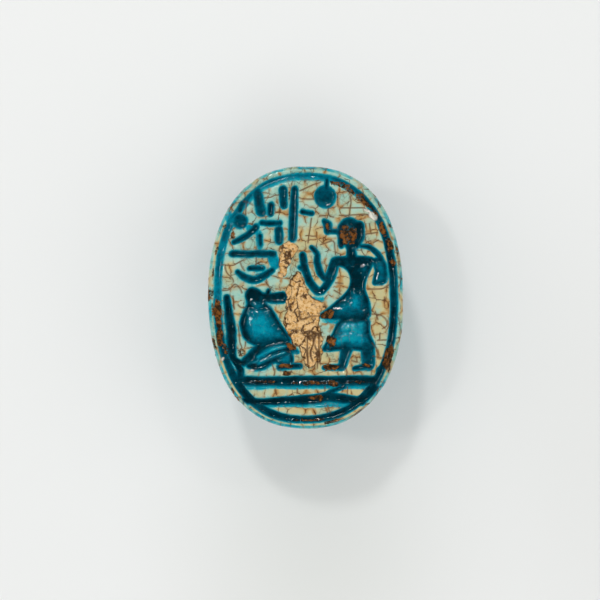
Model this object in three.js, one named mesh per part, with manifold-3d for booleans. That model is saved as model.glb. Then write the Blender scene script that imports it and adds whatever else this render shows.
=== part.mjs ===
// Ancient scarab amulet of glazed soapstone: a beetle on an oval plate, with a scene cut into the plate's face.
// It lies on the crown of the beetle's back with the cut face up. Millimetres; the origin is under the middle
// of the oval, at the lowest point; +Z leaves the cut face and +Y points to the beetle's head, the scene's top.
import * as THREE from "three";
import { mergeVertices } from "three/addons/utils/BufferGeometryUtils.js";
import { LoftGeometry } from "three/addons/geometries/LoftGeometry.js";
import Module from "manifold-3d";

const wasm = await Module();
wasm.setup();

// Overall size
const amuletLength = 18;
const amuletWidth = 13.4;
const amuletHeight = 8;

// The oval plate under the beetle
const plateThickness = 1.5;
const edgeRound = 0.24;
const headEndCurve = 2.24; // superellipse powers of the oval's two ends
const tailEndCurve = 2.38;
const axisLean = 0.014; // sideways drift of the oval's long axis, for each millimetre along it

// The beetle: wing cases, collar, head and legs
const wingInset = 0.8; // from the plate's edge to the foot of the wing cases
const wingLength = 12.8;
const wingFullness = 2.1; // superellipse power of the wing cases' cross section
const restSpotLength = 4.4; // small flat on the crown, which keeps the loose amulet from rocking
const restSpotWidth = 3;
const collarInset = 1.15; // from the plate's edge to the side of the collar
const collarLength = 6.5;
const collarDrop = 0.85; // from the crown of the wing cases to the crown of the collar
const collarFlat = 0.45; // half length of the flat on the collar's crown
const collarOverlap = 4.6; // how far the collar runs in under the wing cases, at the plate
const headWidth = 5;
const headLength = 4.6;
const headDrop = 3.1; // from the crown of the wing cases to the flat of the head
const headInset = 0.6; // from the plate's edge to the front of the head
const hornNotch = 0.6;
const eyeRadius = 0.6;
const legRadius = 0.6;
const legInset = 0.22; // from the plate's edge to the outside of a leg
const backLineWidth = 0.44;
const backLineDepth = 0.3;
const lineBehindCollar = 0.85; // from the collar's crease to the line across the wing cases

// The piercing, from the head to the tail
const boreRadius = 0.85;
const boreBelowFace = 3.15;

// The cut face
const figureDepth = 0.46;
const signDepth = 0.36;
const borderInset = 0.67; // from the plate's edge to the middle of the border line
const borderWidth = 0.54;
const borderDepth = 0.42;
const lossDepth = 0.16; // where the skin of the stone has flaked off
const floorShare = 0.56; // width of a stroke's floor, as a share of its mouth
const bodyRise = 0.34; // how far a rounded body rises again from the floor of its figure

// The scene was set out on squares, which stretch with the plate.
const squareX = amuletWidth / 13.4;
const squareY = amuletLength / 18;

// How finely round forms are faceted
const ovalSteps = 60;
const smallOvalSteps = 40; // for the collar and the head
const capSteps = 3;
const cutAbove = 0.3; // how far a cutter stands clear of the surface that it cuts

const halfWidth = amuletWidth / 2;
const halfLength = amuletLength / 2;
const plateUnderside = amuletHeight - plateThickness;

// A closed three.js geometry as a solid that can be joined and cut.
function solid(geometry) {
  const plain = geometry.index ? geometry.toNonIndexed() : geometry.clone();
  plain.deleteAttribute("normal");
  plain.deleteAttribute("uv");
  const merged = mergeVertices(plain, 1e-4);
  const vertProperties = merged.attributes.position.array;
  const triVerts = new Uint32Array(merged.index.array);
  return new wasm.Manifold(new wasm.Mesh({ numProp: 3, vertProperties, triVerts }));
}

function join(solids) {
  return solids.reduce((whole, piece) => whole.add(piece));
}

// A point of the oval, whose ends differ a little in fullness.
function ovalPoint(angle, radiusX, radiusY) {
  const c = Math.cos(angle);
  const s = Math.sin(angle);
  const power = 2 / (s > 0 ? headEndCurve : tailEndCurve);
  const x = radiusX * Math.sign(c) * Math.abs(c) ** power;
  const y = radiusY * Math.sign(s) * Math.abs(s) ** power;
  return new THREE.Vector2(x - axisLean * y, y);
}

function ovalRing(z, radiusX, radiusY, centreY = 0, steps = ovalSteps) {
  return Array.from({ length: steps }, (_, i) => {
    const point = ovalPoint((i / steps) * 2 * Math.PI, radiusX, radiusY);
    return new THREE.Vector3(point.x, point.y + centreY, z);
  });
}

function loft(sections) {
  return solid(new LoftGeometry(sections, { capStart: true, capEnd: true }));
}

// The plate, with both of its edges rounded.
function plate() {
  const turns = [0, 0.5, 1].map((share) => (share * Math.PI) / 2);
  const corner = turns.map((turn) => ({ drop: edgeRound * (1 - Math.cos(turn)), out: Math.sin(turn) }));
  const lower = corner.map(({ drop, out }) => ({ z: plateUnderside + drop, out }));
  const upper = corner.map(({ drop, out }) => ({ z: amuletHeight - drop, out })).reverse();
  return loft(
    [...lower, ...upper].map(({ z, out }) => {
      const inset = edgeRound * (1 - out);
      return ovalRing(z, halfWidth - inset, halfLength - inset);
    }),
  );
}

// A rounded part of the back: a dome that hangs under the plate, with a flat of its own at the crown.
function dome(centreY, radiusX, radiusY, crown, flatX, flatY, steps) {
  // Half sizes of the dome's level section at a height.
  const section = (z) => {
    const rise = THREE.MathUtils.clamp((z - crown) / (plateUnderside - crown), 0, 1);
    const share = (1 - (1 - rise) ** wingFullness) ** (1 / wingFullness);
    return [flatX + (radiusX - flatX) * share, flatY + (radiusY - flatY) * share];
  };
  // Height of the dome's surface over a point, found by halving.
  const heightAt = (x, y) => {
    let [low, high] = [crown, plateUnderside];
    const power = y > centreY ? headEndCurve : tailEndCurve;
    for (let i = 0; i < 20; i += 1) {
      const middle = (low + high) / 2;
      const [sizeX, sizeY] = section(middle);
      const alongX = Math.abs((x + axisLean * (y - centreY)) / sizeX);
      if (alongX ** power + Math.abs((y - centreY) / sizeY) ** power > 1) low = middle;
      else high = middle;
    }
    return high;
  };
  const shape = () => {
    const levels = 10;
    const rings = Array.from({ length: levels + 1 }, (_, i) => {
      const z = crown + (plateUnderside - crown) * (1 - Math.cos((i / levels) * (Math.PI / 2)));
      return ovalRing(z, ...section(z), centreY, steps);
    });
    rings.push(ovalRing(plateUnderside + plateThickness / 2, radiusX, radiusY, centreY, steps));
    return loft(rings);
  };
  return { shape, heightAt };
}

const wingCentreY = wingInset + wingLength / 2 - halfLength;
const wingFront = wingCentreY + wingLength / 2;
const collarCentreY = wingFront - collarOverlap + collarLength / 2;
const wingRadii = [halfWidth - wingInset, wingLength / 2];
const collarRadii = [halfWidth - collarInset, collarLength / 2];
const wings = dome(wingCentreY, ...wingRadii, 0, restSpotWidth / 2, restSpotLength / 2, ovalSteps);
const collar = dome(collarCentreY, ...collarRadii, collarDrop, collarFlat * 2, collarFlat, smallOvalSteps);

function backHeight(x, y) {
  return Math.min(wings.heightAt(x, y), collar.heightAt(x, y));
}

// A bent rod with a many-sided section. radii has one number for each point that the rod passes.
function rod(points, radii, sides, steps) {
  const path = new THREE.CatmullRomCurve3(points);
  const { normals, binormals } = path.computeFrenetFrames(steps);
  const sections = Array.from({ length: steps + 1 }, (_, i) => {
    const centre = path.getPointAt(i / steps);
    const place = (i / steps) * (radii.length - 1);
    const low = Math.min(Math.floor(place), radii.length - 2);
    const radius = THREE.MathUtils.lerp(radii[low], radii[low + 1], place - low);
    return Array.from({ length: sides }, (_, k) => {
      const angle = ((k + 0.5) / sides) * 2 * Math.PI;
      const point = centre.clone().addScaledVector(normals[i], radius * Math.cos(angle));
      return point.addScaledVector(binormals[i], radius * Math.sin(angle));
    });
  });
  return loft(sections);
}

const headCentreY = halfLength - headInset - headLength / 2;

// The head, with an eye at each side and a notched front edge for digging.
function head() {
  const radiusX = headWidth / 2;
  const radiusY = headLength / 2;
  const span = plateUnderside + plateThickness / 2 - headDrop;
  const levels = [
    [0, 0.84],
    [0.1, 0.94],
    [1, 1],
  ];
  let shape = loft(
    levels.map(([rise, share]) => {
      return ovalRing(headDrop + rise * span, radiusX * share, radiusY * share, headCentreY, smallOvalSteps);
    }),
  );
  for (const side of [-1, 1]) {
    const eye = new THREE.SphereGeometry(eyeRadius, 10, 6);
    const eyeX = side * (radiusX - eyeRadius * 0.3);
    eye.translate(eyeX, headCentreY + eyeRadius * 0.4, headDrop + eyeRadius * 1.3);
    shape = shape.add(solid(eye));
  }
  for (const place of [-1, 0, 1]) {
    const notch = new THREE.CylinderGeometry(hornNotch / 2, hornNotch / 2, hornNotch * 2, 6);
    notch.rotateX(Math.PI / 2);
    const notchInset = (0.4 + Math.abs(place)) * hornNotch * 0.4;
    notch.translate(place * headWidth * 0.21, headCentreY + radiusY - notchInset, headDrop);
    shape = shape.subtract(solid(notch));
  }
  return shape;
}

// Three legs on each flank, folded along the plate. Each runs between two angles of the oval, its knee hangs,
// and it lies further in where the back leaves more room.
function legs() {
  const reaches = [
    { from: 68, to: 32, hang: 0, further: 0.15 },
    { from: 30, to: -14, hang: 1.1, further: 0.25 },
    { from: -16, to: -72, hang: 0.8, further: 0 },
  ];
  const folds = 6;
  const taper = [0.3, 0.85, 1, 1, 1, 0.85, 0.3].map((share) => share * legRadius);
  const made = [];
  for (const side of [-1, 1]) {
    for (const { from, to, hang, further } of reaches) {
      const inset = legInset + legRadius + further;
      const points = Array.from({ length: folds + 1 }, (_, i) => {
        const angle = THREE.MathUtils.degToRad(from + ((to - from) * i) / folds);
        const point = ovalPoint(angle, halfWidth - inset, halfLength - inset);
        const drop = taper[i] * 0.5 + Math.sin((i / folds) * Math.PI) * hang;
        return new THREE.Vector3(side * point.x, point.y, plateUnderside - drop);
      });
      made.push(rod(points, taper, 7, 8));
    }
  }
  return join(made);
}

// A line scratched along the back, over a way across the oval. way(share) gives a point of it.
function backLine(way, steps) {
  const radius = backLineWidth / 2;
  const reach = 0.05;
  const points = Array.from({ length: steps + 1 }, (_, i) => {
    const [x, y] = way(i / steps);
    const z = backHeight(x, y);
    const slopeX = (backHeight(x + reach, y) - backHeight(x - reach, y)) / (2 * reach);
    const slopeY = (backHeight(x, y + reach) - backHeight(x, y - reach)) / (2 * reach);
    const inward = new THREE.Vector3(-slopeX, -slopeY, 1).normalize();
    return new THREE.Vector3(x, y, z).addScaledVector(inward, backLineDepth - radius);
  });
  return rod(points, [radius, radius], 5, steps);
}

// The crease behind the collar on the middle line, found where the two domes are equally high.
function creaseY() {
  let [low, high] = [wingCentreY, collarCentreY];
  for (let i = 0; i < 20; i += 1) {
    const middle = (low + high) / 2;
    if (wings.heightAt(0, middle) < collar.heightAt(0, middle)) low = middle;
    else high = middle;
  }
  return high;
}

// Lines of the back: one behind the collar, the seam between the wing cases and a nick at each shoulder.
function backLines() {
  const lineY = creaseY() - lineBehindCollar;
  const reachX = (halfWidth - wingInset) * 0.86;
  const tailY = -halfLength + wingInset * 1.5;
  const cuts = [
    backLine((share) => [reachX * (2 * share - 1), lineY + (2 * share - 1) ** 2 * 0.5], 16),
    backLine((share) => [0, lineY + (tailY - lineY) * share ** 0.8], 14),
  ];
  for (const side of [-1, 1]) {
    cuts.push(backLine((share) => [side * (reachX * 0.58 + share * 0.9), lineY - 0.1 - share * 1.5], 4));
  }
  return join(cuts);
}

function bore() {
  const drill = new THREE.CylinderGeometry(boreRadius, boreRadius, amuletLength + 2 * cutAbove, 20);
  drill.translate(0, 0, amuletHeight - boreBelowFace);
  return solid(drill);
}

// A cutter that narrows from the face to its floor. outline(share) gives its plan at a share of its width.
function sunk(outline, depth) {
  const levels = [
    [-depth, floorShare],
    [0, 1],
    [cutAbove, 1],
  ];
  return loft(
    levels.map(([z, share]) => outline(share).map(([u, v]) => new THREE.Vector3(u, v, amuletHeight + z))),
  );
}

// One stroke of the graver through a few squares of the scene, round at both ends. widths is one number, or
// one for each point.
function stroke(points, widths, depth = figureDepth) {
  const path = new THREE.SplineCurve(points.map(([u, v]) => new THREE.Vector2(u * squareX, v * squareY)));
  const steps = points.length > 2 ? (points.length - 1) * 2 : 1;
  const all = Array.isArray(widths) ? widths : points.map(() => widths);
  const halfAt = (share) => {
    const place = share * (all.length - 1);
    const low = Math.min(Math.floor(place), all.length - 2);
    return THREE.MathUtils.lerp(all[low], all[low + 1], place - low) / 2;
  };
  const outline = (narrowing) => {
    const ring = [];
    const put = (share, turn) => {
      const at = path.getPoint(share);
      const way = path.getTangent(share);
      const half = halfAt(share) * narrowing * squareX;
      const x = way.x * Math.cos(turn) - way.y * Math.sin(turn);
      const y = way.x * Math.sin(turn) + way.y * Math.cos(turn);
      ring.push([at.x + x * half, at.y + y * half]);
    };
    for (let i = 0; i <= steps; i += 1) put(i / steps, -Math.PI / 2);
    for (let i = 1; i < capSteps; i += 1) put(1, -Math.PI / 2 + (i / capSteps) * Math.PI);
    for (let i = steps; i >= 0; i -= 1) put(i / steps, Math.PI / 2);
    for (let i = 1; i < capSteps; i += 1) put(0, Math.PI / 2 + (i / capSteps) * Math.PI);
    return ring;
  };
  return sunk(outline, depth);
}

// A sunk area with a smooth outline through a few squares of the scene.
function area(points, depth = figureDepth, roundness = 2) {
  const corners = points.map(([u, v]) => new THREE.Vector3(u * squareX, v * squareY, 0));
  const path = new THREE.CatmullRomCurve3(corners, true, "centripetal");
  const count = points.length * roundness;
  const ring = Array.from({ length: count }, (_, i) => path.getPoint(i / count));
  if (THREE.ShapeUtils.isClockWise(ring)) ring.reverse();
  const middle = ring.reduce((sum, p) => sum.add(p), new THREE.Vector3()).divideScalar(count);
  const outline = (share) => {
    const keep = 1 - (1 - share) * 0.35;
    return ring.map((p) => [middle.x + (p.x - middle.x) * keep, middle.y + (p.y - middle.y) * keep]);
  };
  return sunk(outline, depth);
}

function disc([u, v], radius, depth = figureDepth) {
  const steps = 14;
  const outline = (share) =>
    Array.from({ length: steps }, (_, i) => {
      const angle = (i / steps) * 2 * Math.PI;
      return [u * squareX + radius * share * Math.cos(angle), v * squareY + radius * share * Math.sin(angle)];
    });
  return sunk(outline, depth);
}

// A rounded body that rises again from the floor of a figure.
function body([u, v], longHalf, shortHalf, degrees) {
  const dome = new THREE.SphereGeometry(1, 12, 6);
  dome.scale(longHalf, shortHalf, bodyRise);
  dome.rotateZ(THREE.MathUtils.degToRad(degrees));
  dome.translate(u * squareX, v * squareY, amuletHeight - figureDepth);
  return solid(dome);
}

// The line that frames the scene.
function border() {
  const wall = (inset, share, z) => {
    const line = borderInset + ((inset - borderInset) * (share + 1)) / 2;
    return ovalRing(z, halfWidth - line, halfLength - line);
  };
  const levels = [
    [-borderDepth, floorShare],
    [0, 1],
    [cutAbove, 1],
  ];
  const outer = loft(levels.map(([z, share]) => wall(borderInset - borderWidth / 2, share, amuletHeight + z)));
  const inner = loft(
    levels.map(([z, share]) => wall(borderInset + borderWidth / 2, share, amuletHeight + z * 1.5)),
  );
  return outer.subtract(inner);
}

// The standing figure on the right, facing left: one arm raised, one hanging, in a long kilt.
const standingFigure = {
  cuts: () => [
    stroke([[2.98, 4.6], [3.08, 3.5]], [1.66, 0.66]),
    stroke([[2.4, 4.5], [2.4, 3.5]], [0.5, 0.36]),
    stroke([[3.62, 4.85], [3.66, 4.2], [3.4, 3.5]], [0.7, 0.6, 0.4]),
    stroke([[2.3, 4.5], [1.62, 4.5]], [0.36, 0.3]),
    stroke([[1.26, 5.22], [1.5, 4.95], [1.5, 4.5]], [0.3, 0.6, 0.46]),
    stroke([[3.1, 3.5], [3.15, 2.5]], [0.5, 0.8]),
    stroke([[2.0, 2.42], [4.6, 2.45]], 0.64),
    stroke([[3.6, 2.2], [3.6, 1.6], [3.56, 0.6]], [1.5, 1.2, 0.95]),
    stroke([[3.72, 3.5], [4.4, 3.38], [4.9, 3.0], [5.15, 2.6]], [0.24, 0.32, 0.36, 0.4]),
    area([[4.6, 2.6], [5.2, 2.62], [5.46, 1.9], [5.4, 1.05], [4.58, 0.92], [4.74, 1.8]]),
    stroke([[2.0, 2.4], [1.7, 1.4], [1.25, 0.62], [0.85, 0.4], [0.35, 0.98], [-0.05, 1.9], [-0.22, 2.9]],
      [0.64, 0.6, 0.5, 0.46, 0.46, 0.44, 0.4]),
    stroke([[1.9, 2.4], [1.62, 1.7], [1.36, 1.28], [0.96, 1.75], [0.74, 2.4], [0.74, 3.0], [0.36, 3.42]],
      [0.5, 0.42, 0.38, 0.42, 0.42, 0.34, 0.24]),
    stroke([[-0.1, 1.85], [-0.42, 2.08]], [0.3, 0.24]),
    area([[3.1, 0.8], [4.02, 0.5], [4.36, -0.4], [4.22, -1.5], [2.3, -1.48], [1.2, -1.44], [1.08, -1.1], [2.5, 0.1]]),
    area([[2.45, -1.4], [4.2, -1.4], [4.42, -2.4], [4.66, -3.6], [2.9, -3.6], [1.15, -3.64], [1.8, -2.5]]),
    stroke([[2.85, -3.4], [2.5, -4.7]], [0.62, 0.46]),
    stroke([[4.25, -3.4], [4.28, -4.6]], [0.82, 0.72]),
    stroke([[2.45, -4.76], [1.25, -4.78]], [0.44, 0.3]),
    stroke([[4.4, -4.76], [3.3, -4.82]], [0.44, 0.3]),
  ],
  bodies: () => [
    body([2.95, 4.25], 0.56, 0.4, 82),
    body([3.58, 1.7], 0.95, 0.42, 90),
    body([3.4, -0.62], 0.86, 0.74, 70),
    body([3.24, -2.55], 1.12, 0.98, 55),
  ],
};

// The crouching baboon on the left, facing right, with its tail up behind it.
const baboon = {
  cuts: () => [
    stroke([[-3.55, 0.02], [-3.35, -0.7]], [1.22, 1.3]),
    stroke([[-2.85, 0.06], [-1.62, 0.04]], [0.7, 0.74]),
    stroke([[-2.6, 0.2], [-2.52, 0.42]], 0.3),
    area([[-4.0, -0.6], [-4.4, -1.4], [-4.48, -2.2], [-4.2, -2.85], [-3.55, -3.3], [-2.4, -3.2], [-1.15, -2.95],
      [-1.55, -1.95], [-2.3, -0.7], [-3.1, -0.3]]),
    stroke([[-4.2, -4.4], [-3.5, -3.95], [-2.5, -3.3], [-1.4, -3.1]], [0.5, 1.0, 0.9, 0.5]),
    stroke([[-3.9, -4.68], [-3.2, -4.66], [-2.3, -4.1], [-1.2, -3.6]], [0.34, 0.76, 0.8, 0.5]),
    area([[-1.35, -2.95], [-1.05, -3.0], [-0.42, -3.8], [-1.2, -3.76]]),
    area([[-2.15, -4.35], [-1.5, -3.7], [-0.95, -3.7], [-0.88, -4.5], [-1.6, -4.6]]),
    stroke([[-1.75, -4.74], [-0.4, -4.7]], [0.42, 0.36]),
    stroke([[-5.38, 0.0], [-5.26, -1], [-5.12, -2], [-5.08, -3.2], [-4.96, -4.2], [-4.3, -4.54]],
      [0.42, 0.52, 0.62, 0.66, 0.5, 0.36]),
  ],
  bodies: () => [
    body([-2.86, -1.8], 1.42, 0.98, -58),
    body([-2.6, -3.72], 1.2, 0.3, 33),
    body([-1.5, -4.15], 0.42, 0.28, 48),
  ],
};

// Two ground lines with a boat-shaped field under them, and the strokes that tie them to the border.
function groundLines() {
  return [
    stroke([[-4.7, -5.7], [4.75, -5.68]], 0.62),
    stroke([[-4.2, -7.02], [-2.6, -7.14], [0, -7.0], [1.8, -6.84], [3.8, -7.08]], [0.4, 0.46, 0.6, 0.62, 0.5]),
    stroke([[3.5, -7.05], [4.8, -6.2]], [0.5, 0.56]),
    stroke([[1.5, -6.56], [2.6, -6.08]], 0.3, signDepth),
    stroke([[-4.9, -4.3], [-4.46, -4.95], [-4.5, -5.6]], [0.4, 0.42, 0.5]),
  ];
}

// Rows of plain strokes above the baboon, and the disc over the standing figure.
function strokesAbove() {
  const shallow = (points, widths) => stroke(points, widths, signDepth);
  return [
    disc([1.32, 6.86], 0.74),
    shallow([[1.42, 7.5], [1.46, 8.0]], 0.3),
    disc([-4.56, 5.2], 0.56, signDepth),
    shallow([[-4.62, 5.7], [-4.5, 6.5]], [0.46, 0.4]),
    shallow([[-3.3, 7.1], [-3.05, 5.85]], [0.62, 0.7]),
    shallow([[-2.36, 6.3], [-2.42, 5.75]], 0.44),
    shallow([[-1.56, 7.35], [-1.46, 6.3]], [0.58, 0.5]),
    shallow([[-0.74, 7.4], [-0.84, 5.6], [-0.92, 4.0]], [0.46, 0.56, 0.54]),
    shallow([[-0.24, 5.86], [0.45, 5.72]], [0.34, 0.3]),
    shallow([[-4.9, 3.78], [-4.1, 4.15], [-3.4, 4.75]], [0.34, 0.4, 0.5]),
    shallow([[-3.0, 5.08], [-1.75, 5.08]], 0.34),
    shallow([[-1.84, 4.62], [-1.82, 3.85]], [0.56, 0.5]),
    shallow([[-3.1, 4.2], [-3.08, 3.6]], 0.3),
    shallow([[-5.02, 2.98], [-2.2, 3.0]], 0.44),
    shallow([[-4.66, 1.74], [-4.05, 1.3], [-3.3, 1.22], [-2.3, 1.86]], [0.34, 0.46, 0.5, 0.36]),
    shallow([[-3.8, 1.98], [-2.96, 1.98]], 0.36),
  ];
}

// Where the glaze and the skin of the stone are gone from the middle of the face.
function losses() {
  return [
    area([[-1.3, 3.74], [-0.5, 3.5], [-0.7, 3.0], [-1.15, 2.6], [-1.2, 2.0], [-1.6, 1.55], [-1.88, 2.1], [-1.86, 3.0]],
      lossDepth, 1),
    area([[-0.7, 1.74], [-0.2, 1.2], [0.3, 0.3], [1.15, -0.4], [0.9, -1.2], [0.8, -2.2], [0.6, -3.4], [0.2, -4.2],
      [-0.3, -3.6], [-1.0, -2.5], [-1.36, -1.4], [-1.3, -0.2], [-1.1, 0.9]], lossDepth, 1),
    disc([4.62, 5.62], 0.3, lossDepth),
  ];
}

// A long flake off the lower right of the plate's edge.
function edgeFlake() {
  const flake = new THREE.SphereGeometry(1, 16, 8);
  flake.scale(2.6, 0.42, plateThickness * 0.55);
  flake.rotateZ(THREE.MathUtils.degToRad(40));
  const rim = ovalPoint(THREE.MathUtils.degToRad(-58), halfWidth + 0.24, halfLength + 0.24);
  flake.translate(rim.x, rim.y, amuletHeight);
  return solid(flake);
}

function scarab() {
  const carving = join([
    border(),
    ...standingFigure.cuts(),
    ...baboon.cuts(),
    ...groundLines(),
    ...strokesAbove(),
    ...losses(),
    edgeFlake(),
  ]);
  const raised = join([...standingFigure.bodies(), ...baboon.bodies()]);
  const beetle = join([plate(), wings.shape(), collar.shape(), head(), legs()]);
  return beetle.subtract(carving).add(raised).subtract(backLines()).subtract(bore());
}

// A solid back as a three.js geometry.
function geometryOf(made) {
  const mesh = made.getMesh();
  const positions = new Float32Array(mesh.numVert * 3);
  for (let i = 0; i < mesh.numVert; i += 1) {
    positions.set(mesh.vertProperties.subarray(i * mesh.numProp, i * mesh.numProp + 3), i * 3);
  }
  const geometry = new THREE.BufferGeometry();
  geometry.setAttribute("position", new THREE.BufferAttribute(positions, 3));
  geometry.setIndex(new THREE.BufferAttribute(mesh.triVerts, 1));
  geometry.computeVertexNormals();
  return geometry;
}

const glaze = new THREE.MeshStandardMaterial({ color: 0x2f8f9c, roughness: 0.25, metalness: 0 });
const amulet = new THREE.Mesh(geometryOf(scarab()), glaze);
amulet.name = "scarab";

const group = new THREE.Group();
group.add(amulet);

export default group;
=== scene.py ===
import math

import bpy
import numpy as np
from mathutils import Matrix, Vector


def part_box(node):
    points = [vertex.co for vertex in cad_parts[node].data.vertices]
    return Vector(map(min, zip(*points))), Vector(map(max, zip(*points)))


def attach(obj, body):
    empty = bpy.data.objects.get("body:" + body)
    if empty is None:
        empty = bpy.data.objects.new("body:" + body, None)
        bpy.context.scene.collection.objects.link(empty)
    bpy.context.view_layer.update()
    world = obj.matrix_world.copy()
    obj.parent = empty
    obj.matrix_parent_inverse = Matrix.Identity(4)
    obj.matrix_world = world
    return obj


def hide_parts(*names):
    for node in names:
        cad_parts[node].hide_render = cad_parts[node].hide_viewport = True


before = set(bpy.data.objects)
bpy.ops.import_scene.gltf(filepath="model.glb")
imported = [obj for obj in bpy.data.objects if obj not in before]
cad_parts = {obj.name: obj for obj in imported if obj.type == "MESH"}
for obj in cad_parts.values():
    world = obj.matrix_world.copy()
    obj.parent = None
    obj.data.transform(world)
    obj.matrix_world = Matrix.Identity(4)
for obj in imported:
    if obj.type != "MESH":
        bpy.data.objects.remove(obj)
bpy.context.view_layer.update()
mm = 0.001
print("frame loaded")

nodeLow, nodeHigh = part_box("scarab")
stone = {
    "width": (nodeHigh.x - nodeLow.x) / mm,
    "length": (nodeHigh.y - nodeLow.y) / mm,
    "height": (nodeHigh.z - nodeLow.z) / mm,
    "plateThickness": 1.5,
    "edgeRound": 0.3,
    "headPowers": (2.24, 2.42),  # fullness of the oval's four quarters, left and right
    "tailPowers": (2.38, 2.24),
    "lean": 0.014,  # sideways drift of the long axis, for each millimetre along it
    "unevenness": 0.02,
    "sideInset": 0.042,  # room for the side's bumps inside the solid's box
    "sharpAngle": 52,  # in degrees; gentler edges are shaded smooth
}
halfWidth = stone["width"] / 2
halfLength = stone["length"] / 2
faceHeight = stone["height"]
faceTop = faceHeight - 0.002  # a hair inside the solid's box
plateUnderside = faceHeight - stone["plateThickness"]
lowerRound = stone["edgeRound"] * 0.8

meshing = {
    "facesAcross": 192,
    "facesAlong": 256,
    "roundRings": 4,
    "wallRings": 7,
    "ledgeRings": 4,
    "flankRings": 32,
    "crownAngle": 48,  # degrees below level, where the flanks' rings give way to the crown's grid
    "rayHeight": 7.3,  # the beetle's surface is found along rays from this height on the middle line
    "rayReach": (2.5, 12.0, 0.2),  # from, to, and the stride between them
}


# helpers for fields of numbers
def ramp(start, end, value):
    share = np.clip((value - start) / (end - start), 0, 1)
    return share * share * (3 - 2 * share)


def lumps(x, y, z, size, seed):  # soft noise from -1 to 1, with bumps of about the given size
    places = np.stack(np.broadcast_arrays(x, y, z), -1) / size
    cell = np.floor(places).astype(np.int64)
    part = places - cell
    part = part * part * (3 - 2 * part)
    total = np.zeros(cell.shape[:-1])
    for corner in range(8):
        offset = np.array([corner & 1, corner >> 1 & 1, corner >> 2 & 1])
        spot = cell + offset
        mixed = spot[..., 0] * 73856093 ^ spot[..., 1] * 19349663 ^ spot[..., 2] * 83492791
        mixed = mixed ^ seed * 26544357
        mixed = (mixed ^ mixed >> 13) * 1274126177
        value = ((mixed ^ mixed >> 16) & 65535) / 32767.5 - 1
        total += np.prod(np.where(offset, part, 1 - part), -1) * value
    return total


def roughLumps(x, y, z, size, seed):  # the same, with finer bumps on it
    finer = 0.5 * lumps(x, y, z, size / 2.1, seed + 7) + 0.25 * lumps(x, y, z, size / 4.3, seed + 13)
    return (lumps(x, y, z, size, seed) + finer) / 1.4


def soften(field, passes):  # blurs a field over its neighbours in the face's grid
    for _ in range(passes):
        wide = np.pad(field, 1, mode="edge")
        rows = (wide[:-2] + 2 * wide[1:-1] + wide[2:]) / 4
        field = (rows[:, :-2] + 2 * rows[:, 1:-1] + rows[:, 2:]) / 4
    return field


def smoothPath(points, closed=False, step=0.12):  # a curve through a few points, as short straight steps
    corners = np.array(points, float)
    count = len(corners)
    path = []
    for i in range(count if closed else count - 1):
        if closed:
            before, start, end, after = (corners[(i + k) % count] for k in (-1, 0, 1, 2))
        else:
            start, end = corners[i], corners[i + 1]
            before, after = corners[max(i - 1, 0)], corners[min(i + 2, count - 1)]
        pieces = max(2, int(np.linalg.norm(end - start) / step))
        for t in np.arange(pieces) / pieces:
            bend = 2 * start + (end - before) * t + (2 * before - 5 * start + 4 * end - after) * t * t
            path.append((bend + (3 * start - before - 3 * end + after) * t**3) / 2)
    if not closed:
        path.append(corners[-1])
    return np.array(path)


def toPath(places, path, halves):  # signed distance to a path's edge, and the place across it
    edge = np.full(places.shape[:-1], 99.0)
    across = np.full(places.shape[:-1], 99.0)
    for i in range(len(path) - 1):
        step = path[i + 1] - path[i]
        share = np.clip((places - path[i]) @ step / max(step @ step, 1e-12), 0, 1)
        away = np.linalg.norm(places - path[i] - share[..., None] * step, axis=-1)
        half = halves[i] + (halves[i + 1] - halves[i]) * share
        closer = away - half < edge
        edge = np.where(closer, away - half, edge)
        across = np.where(closer, away / np.maximum(half, 1e-6), across)
    return edge, across


def spread(values, count):  # one number, or one a point, as one for each step of a path
    given = [values, values] if np.isscalar(values) else values
    return np.interp(np.linspace(0, 1, count), np.linspace(0, 1, len(given)), given)


# the oval, and how far a point of the face lies in from its edge
def ovalPower(x, y):
    atHead = np.where(x > 0, *stone["headPowers"][::-1])
    atTail = np.where(x > 0, *stone["tailPowers"][::-1])
    return np.where(y > 0, atHead, atTail)


def ovalLevel(x, y, radiusX, radiusY):  # 1 on an oval of these half sizes, less inside
    across = x + stone["lean"] * y
    power = ovalPower(across, y)
    return ((np.abs(across) / radiusX) ** power + (np.abs(y) / radiusY) ** power) ** (1 / power)


def onOval(x, y, inset=0.0):  # a point of the unit disc, carried to the oval that lies inset from the edge
    radius = np.maximum(np.hypot(x, y), 1e-9)
    power = ovalPower(x, y)
    fullness = np.maximum((np.abs(x / radius) ** power + np.abs(y / radius) ** power) ** (1 / power), 1e-9)
    along = y / fullness * (halfLength - inset)
    return x / fullness * (halfWidth - inset) - stone["lean"] * along, along


def insetOf(u, v):
    low = np.full(u.shape, -0.5)
    high = np.full(u.shape, halfWidth - 0.05)
    for _ in range(26):
        middle = (low + high) / 2
        outside = ovalLevel(u, v, halfWidth - middle, halfLength - middle) > 1
        high = np.where(outside, middle, high)
        low = np.where(outside, low, middle)
    return (low + high) / 2


# the cut face: every stroke and sunk area deepens a field over the grid of the face
def squareToDisc(across, along):
    s, t = np.meshgrid(np.linspace(-1, 1, across + 1), np.linspace(-1, 1, along + 1))
    return s * np.sqrt(1 - t * t / 2), t * np.sqrt(1 - s * s / 2)


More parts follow.
